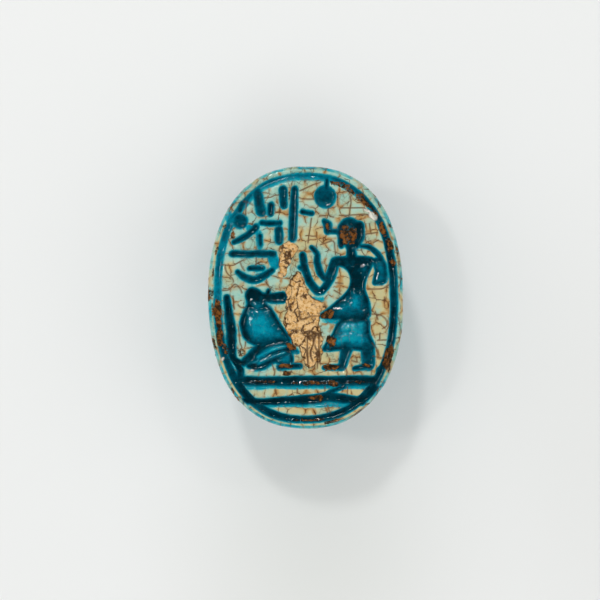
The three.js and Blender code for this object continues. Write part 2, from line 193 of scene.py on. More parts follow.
carving = {
    "figureDepth": 0.46,
    "signDepth": 0.38,
    "borderInset": 0.67,
    "borderWidth": 0.56,
    "borderDepth": 0.42,
    "borderWobble": 0.03,
    "borderHeadShift": 0.1,  # the border lies further in at the head
    "borderHeadWear": 0.62,  # and its inner side is shallow there
    "borderWorn": 0.42,  # share of its depth lost where it is shallowest
    "borderWornHeading": 2.35,  # in radians, towards the upper left
    "wall": 0.13,  # width of the slope from the lip of a cut to its floor
    "lip": 0.045,  # how far the glaze rounds a lip over
    "swelling": 0.03,  # glaze and wear have widened every stroke a little on each side
    "tremor": 0.04,  # the graver's hand is never quite steady
    "margin": 0.4,  # distances to a cut are worked out this far beyond it
}
discX, discY = squareToDisc(meshing["facesAcross"], meshing["facesAlong"])
faceU, faceV = onOval(discX, discY, stone["edgeRound"])
handU = faceU + carving["tremor"] * lumps(faceU, faceV, 0, 0.8, 3)
handV = faceV + carving["tremor"] * lumps(faceU, faceV, 0, 0.8, 4)
faceInset = insetOf(faceU, faceV)
cutDepth = np.zeros(faceU.shape)


def near(path, reach):
    low, high = path.min(0) - reach, path.max(0) + reach
    return (handU > low[0]) & (handU < high[0]) & (handV > low[1]) & (handV < high[1])


def alongStroke(points, widths):  # the face's points near a stroke, their edge distance and place across
    path = smoothPath(points)
    halves = spread(widths, len(path)) / 2 + carving["swelling"]
    part = near(path, halves.max() + carving["margin"])
    return part, *toPath(np.stack([handU[part], handV[part]], -1), path, halves)


def withinArea(points, ragged=0.0, seed=0):  # the face's points near an outline, and their edge distance
    path = smoothPath(points, closed=True)
    ring = np.vstack([path, path[:1]])
    part = near(path, carving["margin"])
    u, v = handU[part], handV[part]
    away, _ = toPath(np.stack([u, v], -1), ring, np.zeros(len(ring)))
    inside = np.zeros(u.shape, bool)
    for (startU, startV), (endU, endV) in zip(ring[:-1], ring[1:]):
        crosses = (startV > v) != (endV > v)
        inside ^= crosses & (u < startU + (endU - startU) * (v - startV) / (endV - startV + 1e-12))
    edge = np.where(inside, -away, away)
    return part, edge + ragged * roughLumps(u, v, 0, 0.5, seed)


def stroke(points, widths, depth=carving["figureDepth"]):
    part, edge, across = alongStroke(points, widths)
    wall = min(carving["wall"], np.max(widths) / 2)
    slope = ramp(carving["lip"], -wall, edge)
    floor = 0.7 + 0.3 * np.clip(1 - across * across, 0, 1)
    cutDepth[part] = np.maximum(cutDepth[part], depth * slope * floor)


def area(points, swell=0.0, reach=0.5, depth=carving["figureDepth"]):  # the floor may swell up
    part, edge = withinArea(points)
    slope = ramp(carving["lip"], -carving["wall"], edge)
    share = np.clip((-edge - carving["wall"] * 0.6) / reach, 0, 1)
    body = 1 - swell * (1 - (1 - share) ** 2)
    cutDepth[part] = np.maximum(cutDepth[part], depth * slope * body)


def rib(points, widths, height):  # a ridge on a figure's floor, or a crease where height is below 0
    part, _, across = alongStroke(points, widths)
    changed = np.clip(cutDepth[part] - height * ramp(1, 0, across), 0.06, carving["figureDepth"])
    cutDepth[part] = np.where(cutDepth[part] > 0.1, changed, cutDepth[part])


def disc(u, v, radius, depth=carving["figureDepth"]):
    stroke([[u - 0.01, v], [u + 0.01, v]], radius * 2, depth)


def cutBorder():
    wobble = carving["borderWobble"] * lumps(faceU, faceV, 0, 1.6, 11)
    half = carving["borderWidth"] / 2 * (1 + 0.1 * lumps(faceU, faceV, 0, 2.2, 12))
    across = faceInset - carving["borderInset"] - carving["borderHeadShift"] * ramp(4.5, 7, faceV) + wobble
    away = np.abs(across)
    slope = ramp(carving["lip"], -carving["wall"], away - half)
    slope *= 1 - carving["borderHeadWear"] * ramp(-0.12, 0.2, across) * ramp(4.5, 6.5, faceV)
    floor = 0.75 + 0.25 * np.clip(1 - (away / half) ** 2, 0, 1)
    facing = np.cos(np.arctan2(faceV, faceU) - carving["borderWornHeading"])
    shallower = 1 - carving["borderWorn"] * ramp(-0.2, 0.9, facing) + 0.1 * lumps(faceU, faceV, 0, 1.1, 14)
    np.maximum(cutDepth, carving["borderDepth"] * slope * floor * shallower, out=cutDepth)


def cutGroundLines():
    signDepth = carving["signDepth"]
    stroke([[-4.7, -5.7], [-1.5, -5.74], [1.5, -5.72], [4.75, -5.68]], [0.6, 0.66, 0.7, 0.64])
    stroke([[-4.2, -7.02], [-2.6, -7.14], [0, -7.0], [1.8, -6.84], [3.8, -7.08]],
           [0.4, 0.5, 0.66, 0.66, 0.5])
    stroke([[3.5, -7.05], [4.2, -6.72], [4.8, -6.2]], [0.5, 0.6, 0.56])
    stroke([[1.5, -6.56], [2.0, -6.32], [2.6, -6.08]], 0.3, signDepth)
    stroke([[-4.9, -4.3], [-4.46, -4.95], [-4.5, -5.6]], [0.4, 0.42, 0.5])
    stroke([[-4.5, -5.7], [-4.36, -6.3], [-3.95, -6.85], [-3.5, -7.15]], [0.5, 0.46, 0.42, 0.36])
    stroke([[5.0, -4.95], [4.95, -5.5]], 0.36, signDepth)


def cutBaboon():
    signDepth = carving["signDepth"]
    back = [[-3.6, 0.7], [-4.02, 0.46], [-4.18, 0.0], [-4.04, -0.5], [-4.36, -1.2], [-4.52, -1.9],
            [-4.2, -2.8]]
    front = [[-3.4, -3.3], [-2.3, -3.2], [-1.05, -3.0], [-1.6, -1.9], [-2.3, -0.8], [-2.7, -0.4],
             [-3.0, 0.36]]
    area(back + front, swell=0.66, reach=1.15)
    rib([[-3.62, 0.1], [-3.2, -0.1]], [1.0, 0.9], -0.26)
    stroke([[-2.95, 0.0], [-2.2, -0.06], [-1.62, 0.0]], [0.6, 0.66, 0.78])
    stroke([[-2.58, 0.2], [-2.54, 0.44]], 0.26)
    rib([[-3.95, -0.62], [-3.3, -0.8], [-2.7, -0.62]], [0.24, 0.36, 0.24], -0.12)
    rib([[-4.1, -1.3], [-4.2, -2.0], [-3.9, -2.8]], [0.3, 0.5, 0.3], -0.12)
    stroke([[-4.2, -4.4], [-3.5, -3.95], [-2.5, -3.3], [-1.4, -3.1]], [0.5, 0.96, 0.8, 0.5])
    stroke([[-3.9, -4.68], [-3.2, -4.66], [-2.3, -4.1], [-1.2, -3.6]], [0.34, 0.76, 0.8, 0.5])
    area([[-1.35, -2.95], [-1.05, -3.0], [-0.42, -3.8], [-1.2, -3.76]], depth=0.3)
    area([[-2.15, -4.35], [-1.5, -3.7], [-0.95, -3.7], [-0.88, -4.5], [-1.6, -4.6]], swell=0.5, reach=0.4)
    stroke([[-1.75, -4.74], [-0.4, -4.7]], [0.42, 0.36], signDepth)
    stroke([[-5.38, 0.0], [-5.26, -1], [-5.12, -2], [-5.08, -3.2], [-4.96, -4.2], [-4.3, -4.54]],
           [0.42, 0.52, 0.62, 0.66, 0.5, 0.36])
    rib([[-3.3, -4.08], [-2.4, -3.56], [-1.5, -3.3]], [0.4, 0.6, 0.4], 0.28)
    rib([[-3.3, -4.56], [-2.3, -4.06], [-1.4, -3.74]], [0.3, 0.45, 0.35], 0.26)


def cutStandingFigure():
    signDepth = carving["signDepth"]
    stroke([[2.98, 4.6], [3.08, 3.5]], [1.66, 0.66])
    stroke([[2.4, 4.5], [2.4, 3.5]], [0.5, 0.36])
    stroke([[3.62, 4.85], [3.66, 4.2], [3.4, 3.5]], [0.7, 0.6, 0.4])
    stroke([[2.3, 4.5], [1.62, 4.5]], [0.36, 0.3], signDepth)
    stroke([[1.26, 5.22], [1.5, 4.95], [1.5, 4.5]], [0.3, 0.6, 0.46], signDepth)
    stroke([[3.1, 3.5], [3.15, 2.5]], [0.5, 0.8])
    shoulders = [[1.9, 2.72], [3.1, 2.8], [4.5, 2.76], [4.62, 2.3], [4.2, 1.4], [4.06, 0.6]]
    hips = [[4.4, -0.4], [4.26, -1.46], [2.4, -1.5], [1.1, -1.42], [1.0, -1.1], [2.5, 0.1], [2.98, 0.9],
            [2.96, 1.6]]
    area(shoulders + hips + [[2.5, 2.1], [1.9, 2.14]], swell=0.5, reach=1.0)
    rib([[2.6, 2.4], [3.3, 2.35], [4.2, 2.4]], [0.4, 0.6, 0.4], -0.14)
    rib([[3.55, 2.3], [3.5, 1.4], [3.5, 0.4]], [1.4, 1.1, 0.6], -0.2)
    rib([[3.5, 0.1], [3.35, -0.6]], [0.5, 0.9], 0.05)
    stroke([[3.72, 3.5], [4.4, 3.38], [4.9, 3.0], [5.15, 2.6]], [0.24, 0.32, 0.36, 0.4], signDepth)
    hanging = [[4.55, 2.6], [5.3, 2.66], [5.6, 1.9], [5.5, 1.0], [4.55, 0.86], [4.7, 1.8]]
    area(hanging, swell=0.34, reach=0.45, depth=0.4)
    stroke([[2.0, 2.4], [1.7, 1.4], [1.25, 0.62], [0.85, 0.4], [0.35, 0.98], [-0.05, 1.9], [-0.22, 2.9]],
           [0.64, 0.6, 0.5, 0.46, 0.46, 0.44, 0.4], 0.41)
    stroke([[1.9, 2.4], [1.62, 1.7], [1.36, 1.28], [0.96, 1.75], [0.74, 2.4], [0.74, 3.0], [0.36, 3.42]],
           [0.5, 0.42, 0.38, 0.42, 0.42, 0.34, 0.24], 0.4)
    stroke([[-0.1, 1.85], [-0.42, 2.08]], [0.3, 0.24], signDepth)
    skirt = [[2.45, -1.4], [4.2, -1.4], [4.42, -2.4], [4.66, -3.6], [2.9, -3.6], [1.15, -3.64],
             [1.8, -2.5]]
    area(skirt, swell=0.76, reach=0.8)
    for top, foot in ((2.75, 2.0), (3.15, 2.75), (3.55, 3.5), (3.95, 4.15)):  # folds of the kilt
        rib([[top, -1.75], [foot, -3.4]], [0.12, 0.26], -0.05)
    rib([[2.5, -1.52], [3.4, -1.6], [4.2, -1.52]], 0.2, -0.12)
    rib([[2.2, -0.6], [3.3, -0.95], [4.2, -0.7]], [0.14, 0.24, 0.14], -0.06)
    rib([[2.1, -2.5], [2.9, -2.34], [3.6, -2.5], [4.3, -2.36]], [0.16, 0.22, 0.16, 0.2], -0.07)
    stroke([[2.85, -3.4], [2.5, -4.7]], [0.8, 0.5], signDepth)
    stroke([[4.25, -3.4], [4.28, -4.6]], [0.94, 0.84], signDepth)
    stroke([[2.45, -4.76], [1.25, -4.78]], [0.44, 0.3], signDepth)
    stroke([[4.4, -4.76], [3.3, -4.82]], [0.44, 0.3], signDepth)
    rib([[2.95, 4.75], [2.95, 3.75]], [0.72, 0.5], 0.24)  # the face, plain and rounded


def cutStrokesAbove():
    depth = carving["signDepth"]
    disc(1.32, 6.86, 0.74, depth)
    stroke([[1.42, 7.5], [1.46, 8.0]], 0.3, depth)
    disc(-4.46, 5.18, 0.5, depth)
    stroke([[-4.5, 5.9], [-4.36, 6.4]], [0.3, 0.34], depth)
    stroke([[-3.3, 7.1], [-3.05, 5.85]], [0.62, 0.7], depth)
    stroke([[-2.36, 6.3], [-2.42, 5.75]], 0.44, depth)
    stroke([[-1.56, 7.35], [-1.46, 6.3]], [0.58, 0.5], depth)
    stroke([[-0.74, 7.4], [-0.84, 5.6], [-0.92, 4.0]], [0.46, 0.56, 0.54], depth)
    stroke([[-0.24, 5.86], [0.45, 5.72]], [0.34, 0.3], depth)
    stroke([[-4.9, 3.78], [-4.1, 4.15], [-3.4, 4.75]], [0.34, 0.4, 0.5], depth)
    stroke([[-3.0, 5.08], [-1.75, 5.08]], 0.34, depth)
    stroke([[-1.84, 4.62], [-1.82, 3.85]], [0.56, 0.5], depth)
    stroke([[-3.1, 4.2], [-3.08, 3.6]], 0.3, depth)
    stroke([[-5.02, 2.98], [-2.2, 3.0]], 0.44, depth)
    stroke([[-4.66, 1.74], [-4.05, 1.3], [-3.3, 1.22], [-2.3, 1.86]], [0.34, 0.46, 0.5, 0.36], depth)
    stroke([[-3.8, 1.98], [-2.96, 1.98]], 0.36, depth)


cutBorder()
cutGroundLines()
cutBaboon()
cutStandingFigure()
cutStrokesAbove()
cutDepth = soften(cutDepth, 1)
print("face cut")

# what time did to the face: glaze that pooled and ran, flakes lost to bare stone, soil, cracks
wear = {
    "lossDepth": 0.14,
    "lossRoughness": 0.07,
    "chipDepth": 0.14,
    "crackDepth": 0.02,
    "rimPool": 0.12,  # thicker glaze along the very edge
    "rimPoolVaries": 0.06,
    "poolBesideCuts": 0.095,  # thin glaze beside the cuts, at the left
    "soilFill": 0.12,
}
pool = cutDepth / carving["figureDepth"]
besideCuts = np.clip(4 * soften(pool, 8), 0, 1)
rim = ramp(0.5, 0.3, faceInset)
rimRun = wear["rimPool"] * ramp(0.34, 0.2, faceInset) * ramp(-10, -5, faceV)
rimRun = rimRun + wear["rimPoolVaries"] * rim * roughLumps(faceU, faceV, 0, 1.1, 37)
pool = np.maximum(pool, rimRun)
pool = np.maximum(pool, wear["poolBesideCuts"] * besideCuts * ramp(5, -4, faceU))
bare = np.zeros(faceU.shape)
soil = np.zeros(faceU.shape)
crack = np.zeros(faceU.shape)
fresh = np.zeros(faceU.shape)


def glazeRun(points, widths, strength):
    part, edge, _ = alongStroke(points, widths)
    pool[part] = np.maximum(pool[part], strength * ramp(0.08, -0.14, edge))


def loseSkin(points, seed):
    part, edge = withinArea(points, ragged=0.24, seed=seed)
    bare[part] = np.maximum(bare[part], ramp(0.03, -0.03, edge))


def crackLine(points, width=0.07, strength=1.0):
    part, edge, _ = alongStroke(points, np.asarray(width) - 2 * carving["swelling"])
    crack[part] = np.maximum(crack[part], strength * ramp(0.04, -0.03, edge))


def spot(field, u, v, radiusU, radiusV, turn=0, strength=1.0, ragged=0.5):
    c, s = math.cos(math.radians(turn)), math.sin(math.radians(turn))
    across = ((faceU - u) * c + (faceV - v) * s) / radiusU
    along = ((faceV - v) * c - (faceU - u) * s) / radiusV
    away = np.hypot(across, along) + ragged * roughLumps(faceU, faceV, 0, 0.35, int(90 + 10 * u + 7 * v))
    np.maximum(field, strength * ramp(1.25, 0.75, away), out=field)


glazeRuns = [
    ([[-2.3, 2.85], [-2.1, 2.3]], 0.7, 0.4),
    ([[-3.9, 4.75], [-3.5, 4.5]], 0.4, 0.35),
    ([[-3.2, 4.4], [-3.15, 3.5]], 0.4, 0.34),
    ([[-5.3, 5.7], [-5.1, 5.0]], 0.5, 0.3),
    ([[0.2, -0.1], [1.1, -0.1]], 0.35, 0.22),
    ([[1.3, -1.55], [2.1, -1.62]], 0.3, 0.25),
    ([[-3.9, -6.1], [4.2, -6.08]], 0.3, 0.3),
    ([[-2.6, -7.4], [2.8, -7.35]], 0.24, 0.26),
]
for points, widths, strength in glazeRuns:
    glazeRun(points, widths, strength)

upperLoss = [[-1.3, 3.78], [-0.6, 3.5], [-0.5, 3.2], [-1.0, 2.8], [-1.15, 2.1], [-1.3, 1.6], [-1.7, 1.5],
             [-1.9, 2.1], [-1.85, 3.0], [-1.75, 3.4]]
lowerLoss = [[-0.6, 1.75], [-0.1, 1.15], [0.5, 0.1], [1.25, -0.45], [1.0, -1.1], [0.95, -1.9],
             [1.15, -2.6], [1.0, -3.6], [0.8, -4.4], [0.2, -4.8], [-0.3, -4.0], [-0.6, -3.4],
             [-1.1, -2.6], [-1.4, -1.8], [-1.35, -0.6], [-1.3, 0.4], [-1.0, 1.2]]
loseSkin(upperLoss, 21)
loseSkin(lowerLoss, 22)

cracks = [
    [[-0.4, 7.3], [0.3, 7.6], [1.0, 7.85]],
    [[-0.5, 6.85], [-0.2, 6.72], [0.55, 6.7]],
    [[-3.4, 2.75], [-3.4, 2.2]],
    [[-5.7, 2.25], [-5.0, 2.2], [-4.5, 2.45], [-4.2, 2.6]],
    [[-5.5, 2.2], [-5.35, 1.7], [-5.0, 1.3], [-4.9, 1.05]],
    [[-4.45, 2.4], [-4.3, 2.0], [-4.15, 1.8]],
    [[-5.7, 0.5], [-5.2, 0.55], [-4.8, 0.9], [-4.45, 0.6], [-4.35, 0.3]],
    [[-2.8, 1.1], [-2.5, 0.7], [-2.4, 0.45]],
    [[-3.95, 5.05], [-3.6, 5.0]],
    [[-4.3, 6.6], [-3.9, 6.45], [-3.6, 6.3]],
    [[-4.1, 6.4], [-4.1, 5.6]],
    [[-2.85, 6.8], [-2.4, 6.85], [-2.1, 7.0], [-1.85, 7.0]],
    [[-2.1, 6.1], [-2.05, 5.8], [-1.7, 5.9]],
    [[0.4, 5.4], [0.3, 5.0], [0.2, 4.2], [0.15, 3.7]],
    [[0.0, 4.2], [0.7, 4.15]],
    [[1.0, 3.6], [1.4, 3.7], [1.9, 3.8], [1.95, 3.3], [2.0, 2.9]],
    [[1.5, 6.0], [1.6, 5.6], [1.9, 5.5]],
    [[2.3, 5.62], [3.0, 5.6], [4.0, 5.66], [4.3, 5.6]],
    [[2.4, 6.1], [3.2, 6.1], [4.0, 6.1]],
    [[3.0, 6.9], [3.1, 6.5], [3.05, 6.1], [3.0, 5.6]],
    [[4.05, 4.3], [4.5, 4.35], [4.9, 4.4]],
    [[4.35, 5.0], [4.45, 4.3]],
    [[4.6, 3.7], [4.95, 3.9]],
    [[4.2, 0.55], [5.2, 0.6], [5.7, 0.9]],
    [[2.0, 1.0], [2.5, 0.95]],
    [[1.9, 0.5], [2.4, 0.2]],
    [[-4.95, 0.1], [-4.9, -0.4], [-4.85, -0.8]],
    [[-4.6, -0.5], [-4.4, -0.7], [-4.1, -0.7]],
    [[-4.6, -2.0], [-4.5, -3.0], [-4.35, -3.4], [-4.5, -3.7], [-4.4, -4.0]],
    [[-2.3, -4.55], [-2.1, -5.0], [-2.15, -5.3]],
    [[-2.1, -6.3], [-2.0, -6.65]],
    [[-0.6, -6.2], [-0.6, -6.5]],
    [[5.5, 0.0], [5.4, -0.3]],
    [[4.5, -1.15], [5.1, -1.2], [5.5, -1.5], [5.55, -1.9], [5.25, -2.1]],
    [[4.75, -1.0], [4.9, -1.5]],
    [[5.1, -2.4], [5.05, -2.85]],
    [[4.9, -2.9], [5.5, -2.9]],
    [[4.55, -3.1], [4.9, -3.6], [5.0, -4.0]],
    [[4.6, -4.0], [5.2, -4.15], [5.5, -4.1]],
    [[2.7, -4.8], [2.8, -5.1], [2.75, -5.35]],
    [[3.1, -4.3], [3.5, -4.4], [3.4, -4.1]],
    [[1.3, -6.1], [1.3, -6.4]],
    [[2.85, -6.1], [2.85, -6.6]],
    [[1.5, -7.4], [1.6, -7.7], [1.7, -7.9]],
]
for points in cracks:
    crackLine(points)
for i, u in enumerate((0.1, 0.42, 0.7, 0.92)):  # the crumbling strip breaks into upright splinters
    drift = 0.13 * math.sin(2.1 * i)
    crackLine([[u, -2.5 - drift], [u + drift, -3.1], [u - drift, -3.8], [u + 0.05, -4.6 + 2 * drift]],
              [0.16, 0.05, 0.14, 0.05])
crackLine([[-0.2, -2.5], [0.3, -2.3], [0.8, -2.45], [1.15, -2.35]], [0.14, 0.1, 0.16, 0.1])
crackLine([[-0.5, -0.9], [-0.3, -1.5], [0.3, -1.3], [1.0, -1.25]], [0.1, 0.16, 0.08, 0.05], 0.8)

soilSpots = [  # u, v, half sizes, turn, strength
    (5.25, 4.6, 0.22, 0.5, 20, 1),
    (5.72, 3.65, 0.2, 0.48, 14, 1),
    (5.97, 2.4, 0.15, 0.2, 0, 1),
    (5.62, -4.0, 0.28, 0.7, -10, 1),
    (-6.02, -1.1, 0.26, 0.95, 6, 1),
    (-5.85, -2.6, 0.24, 0.6, 0, 0.8),
    (-5.5, -3.6, 0.2, 0.4, 12, 0.6),
    (4.1, 6.45, 0.2, 0.5, 45, 0.9),
    (3.7, 6.85, 0.3, 0.25, 0, 0.6),
    (3.0, 7.3, 0.5, 0.14, -32, 0.66),
    (4.6, 6.0, 0.5, 0.12, -50, 0.62),
    (2.4, 7.7, 0.7, 0.2, -15, 0.6),
    (-0.3, -8.4, 0.9, 0.08, 0, 0.62),
    (0.9, -8.35, 0.5, 0.08, 6, 0.6),
    (-5.6, 4.7, 0.1, 0.35, -30, 0.55),
    (-6.1, 3.2, 0.1, 0.4, -18, 0.56),
    (-6.36, 1.6, 0.11, 0.5, 0, 0.6),
    (-6.38, -0.8, 0.1, 0.5, 0, 0.62),
    (-6.2, -3.9, 0.1, 0.5, 14, 0.62),
    (-6.35, 0.3, 0.1, 0.3, 0, 0.55),
    (-6.3, -2.9, 0.1, 0.5, 8, 0.6),
    (-5.9, -4.9, 0.1, 0.4, 25, 0.55),
    (-5.3, -6.05, 0.1, 0.3, 36, 0.6),
    (-2.9, -8.3, 0.3, 0.1, -16, 0.6),
    (2.75, 4.35, 0.4, 0.5, 10, 0.66),
    (3.15, 4.1, 0.34, 0.6, 0, 0.69),
    (2.7, 3.9, 0.2, 0.3, 0, 1),
    (1.5, 4.8, 0.12, 0.35, 10, 0.6),
    (1.5, -1.15, 0.42, 0.26, 20, 0.95),
    (1.75, -3.05, 0.3, 0.5, 20, 0.9),
    (-0.98, -3.38, 0.36, 0.2, -30, 1),
    (-1.3, -4.68, 0.5, 0.15, 0, 0.8),
    (1.75, -4.75, 0.5, 0.17, 0, 0.95),
    (4.1, -4.62, 0.36, 0.15, -10, 0.95),
    (1.8, -5.9, 0.35, 0.18, -20, 0.8),
    (0.6, -5.85, 1.3, 0.12, 0, 0.62),
    (3.4, -5.8, 0.7, 0.1, 0, 0.55),
    (-2.9, -5.75, 0.9, 0.09, 0, 0.5),
    (0.7, -6.85, 0.6, 0.2, 0, 0.8),
    (1.85, -8.45, 0.5, 0.14, 12, 0.8),
    (-1.3, -5.2, 0.3, 0.16, 0, 0.9),
    (-4.95, 4.2, 0.16, 0.26, 0, 0.7),
    (-1.1, 7.0, 0.1, 0.35, 0, 0.5),
    (-4.45, -3.75, 0.22, 0.25, 0, 0.5),
]
for u, v, radiusU, radiusV, turn, strength in soilSpots:
    spot(soil, u, v, radiusU, radiusV, turn, strength)

faceNoise = roughLumps(faceU, faceV, 0, 1.4, 31)
stain = 0.5 - 0.34 * besideCuts + 0.03 * (faceU - faceV)
stain += rim * (0.45 * ramp(-3.5, -6, faceU) - 0.25 * ramp(0, 4, faceU))  # the rim is browner at the left
stain += 0.35 * rim * ramp(-5.5, -8, faceV)  # and at the tail
stain = np.clip(stain + 0.5 * faceNoise + 0.25 * roughLumps(faceU, faceV, 0, 0.45, 32), 0, 1)
flaked = lumps(faceU, faceV, 0, 0.7, 36) + 0.7 * roughLumps(faceU, faceV, 0, 0.22, 33)
bareFloor = wear["lossDepth"] + wear["lossRoughness"] * flaked
cutDepth = np.where(bare > 0, np.maximum(cutDepth * (1 - 0.5 * bare), bareFloor * bare), cutDepth)
pool = pool * (1 - bare)
cutDepth += wear["crackDepth"] * crack
soilFill = wear["soilFill"] * soil * ramp(0.1, 0.4, cutDepth)
cutDepth -= soilFill * (1 + 0.6 * roughLumps(faceU, faceV, 0, 0.16, 34))


def breakChip(u, v, radiusU, radiusV, turn, whiteness):  # a small chip, white where the break is clean
    hollow = np.zeros(faceU.shape)
    spot(hollow, u, v, radiusU, radiusV, turn, 1, 0.25)
    np.maximum(cutDepth, wear["chipDepth"] * hollow, out=cutDepth)
    np.maximum(bare, hollow * max(whiteness, 0.35), out=bare)
    np.maximum(fresh, hollow * whiteness, out=fresh)


chips = [  # u, v, half sizes, turn, whiteness
    (4.2, 5.93, 0.3, 0.09, -25, 1),
    (4.62, 5.52, 0.36, 0.2, -48, 1),
    (-5.68, -4.2, 0.16, 0.09, 60, 1),
    (-3.7, -4.97, 0.16, 0.07, 0, 1),
    (4.75, -6.75, 1.5, 0.16, 42, 0),
    (-6.42, -2.2, 0.14, 0.5, 0, 0),
    (-4.5, -6.95, 0.4, 0.12, -42, 0),
]
for chip in chips:
    breakChip(*chip)
cutDepth += stone["unevenness"] * (1 + lumps(faceU, faceV, 0, 2.6, 35)) * 0.5
faceZ = faceTop - cutDepth
print("face worn")

# the beetle underneath, as a field that is negative inside the stone
beetle = {
    "wingInset": 0.8,
    "wingLength": 12.8,
    "wingFullness": 2.1,
    "restSpotWidth": 3,
    "restSpotLength": 4.4,
    "collarInset": 1.15,
    "collarLength": 6.5,
    "collarDrop": 0.85,
    "collarFlat": 0.45,
    "collarOverlap": 4.6,
    "headWidth": 5,
    "headLength": 4.6,
    "headDrop": 3.1,
    "headInset": 0.6,
    "hornNotch": 0.6,
    "eyeRadius": 0.6,
    "legRadius": 0.6,
    "legInset": 0.22,
    "legRibs": 11,
    "lineWidth": 0.4,
    "lineDepth": 0.22,
    "lineBehindCollar": 0.85,
    "joint": 0.16,  # how softly one form runs into the next under the glaze
    "boreRadius": 0.85,
    "boreBelowFace": 3.15,
    "boreSides": 40,
    "pooled": 0.26,  # how much glaze has pooled on the back, and how that varies
    "poolVaries": 0.14,
    "poolInCreases": 0.5,
    "poolInLines": 0.6,
    "crownWear": 0.55,
    "creaseReach": 0.45,  # a crease is where the surface bends in within this distance
}
wingCentreY = beetle["wingInset"] + beetle["wingLength"] / 2 - halfLength
wingFrontY = wingCentreY + beetle["wingLength"] / 2
collarCentreY = wingFrontY - beetle["collarOverlap"] + beetle["collarLength"] / 2
headCentreY = halfLength - beetle["headInset"] - beetle["headLength"] / 2


def merge(first, second, softness):
    share = np.clip(0.5 + 0.5 * (second - first) / softness, 0, 1)
    return second * (1 - share) + first * share - softness * share * (1 - share)


def domeField(x, y, z, centreY, radiusX, radiusY, crown, flatX, flatY):
    rise = np.clip((z - crown) / (plateUnderside - crown), 0, 1)
    share = (1 - (1 - rise) ** beetle["wingFullness"]) ** (1 / beetle["wingFullness"])
    sizeX = flatX + (radiusX - flatX) * share
    sizeY = flatY + (radiusY - flatY) * share
    side = (ovalLevel(x, y - centreY, sizeX, sizeY) - 1) * np.minimum(sizeX, sizeY)
    return np.maximum(side, crown - z)


def headField(x, y, z):
    drop = beetle["headDrop"]
    rise = (z - drop) / (plateUnderside + 0.75 - drop)
    share = np.interp(rise, [0, 0.1, 1], [0.86, 0.95, 1])
    sizeX, sizeY = beetle["headWidth"] / 2 * share, beetle["headLength"] / 2 * share
    shape = (ovalLevel(x, y - headCentreY, sizeX, sizeY) - 1) * sizeY
    shape = np.maximum(shape, drop - z + 0.12 * np.abs(x))
    eyeX = beetle["headWidth"] / 2 - beetle["eyeRadius"] * 0.3
    eyeY, eyeZ = headCentreY + beetle["eyeRadius"] * 0.4, drop + beetle["eyeRadius"] * 1.3
    eyes = np.sqrt((np.abs(x) - eyeX) ** 2 + (y - eyeY) ** 2 + (z - eyeZ) ** 2) - beetle["eyeRadius"]
    shape = merge(shape, eyes, 0.1)
    for place in (0, 1):
        notchX = place * beetle["headWidth"] * 0.21
        notchY = headCentreY + beetle["headLength"] / 2 - (0.4 + place) * beetle["hornNotch"] * 0.4
        notch = beetle["hornNotch"] / 2 - np.hypot(np.abs(x) - notchX, y - notchY)
        shape = np.maximum(shape, np.minimum(notch, drop + beetle["hornNotch"] - z))
    return shape


def legPaths():
    legs = [(68, 32, 0, 0.15), (30, -14, 1.1, 0.25), (-16, -72, 0.8, 0)]
    folds = 6
    radii = beetle["legRadius"] * np.array([0.3, 0.85, 1, 1, 1, 0.85, 0.3])
    for start, end, hang, further in legs:
        inset = beetle["legInset"] + beetle["legRadius"] + further
        angles = np.radians(np.linspace(start, end, folds + 1))
        power = 2 / ovalPower(-1, np.sin(angles))
        x = (halfWidth - inset) * np.abs(np.cos(angles)) ** power
        y = (halfLength - inset) * np.sign(np.sin(angles)) * np.abs(np.sin(angles)) ** power
        drop = radii * 0.5 + np.sin(np.linspace(0, math.pi, folds + 1)) * hang
        points = np.stack([x - stone["lean"] * y, y, plateUnderside - drop, radii], -1)
        yield smoothPath(points, step=0.3)


legs = list(legPaths())


def legField(x, y, z):
    places = np.stack([np.abs(x), y, z], -1)
    nearest = np.full(x.shape, 99.0)
    for path in legs:
        ribs = 1 + 0.05 * np.cos(np.linspace(0, 2 * math.pi * beetle["legRibs"], len(path)))
        edge, _ = toPath(places, path[:, :3], path[:, 3] * ribs)
        nearest = np.minimum(nearest, edge)
    return nearest


def beetleField(x, y, z):
    wingSizes = (halfWidth - beetle["wingInset"], beetle["wingLength"] / 2)
    collarSizes = (halfWidth - beetle["collarInset"], beetle["collarLength"] / 2)
    restSpot = (beetle["restSpotWidth"] / 2, beetle["restSpotLength"] / 2)
    flat = beetle["collarFlat"]
    wings = domeField(x, y, z, wingCentreY, *wingSizes, 0.003, *restSpot)
    collar = domeField(x, y, z, collarCentreY, *collarSizes, beetle["collarDrop"], flat * 2, flat)
    plate = np.maximum((ovalLevel(x, y, halfWidth, halfLength) - 1) * halfWidth, plateUnderside - z)
    body = merge(wings, collar, beetle["joint"])
    body = merge(body, headField(x, y, z), beetle["joint"])
    body = merge(body, plate, beetle["joint"])
    return merge(body, legField(x, y, z), beetle["joint"])


def crossLineY():  # where the line across the wing cases meets the middle line
    y = np.linspace(wingCentreY, collarCentreY, 400)
    wings = (wingCentreY, beetle["wingLength"] / 2, 0, beetle["restSpotLength"] / 2)
    collar = (collarCentreY, beetle["collarLength"] / 2, beetle["collarDrop"], beetle["collarFlat"])
    heights = []
    for centre, radiusY, crown, flat in (wings, collar):
        share = np.clip((np.abs(y - centre) - flat) / (radiusY - flat), 0, 1)
        rise = 1 - (1 - share ** beetle["wingFullness"]) ** (1 / beetle["wingFullness"])
        heights.append(crown + rise * (plateUnderside - crown))
    return y[np.argmax(heights[0] > heights[1])] - beetle["lineBehindCollar"]


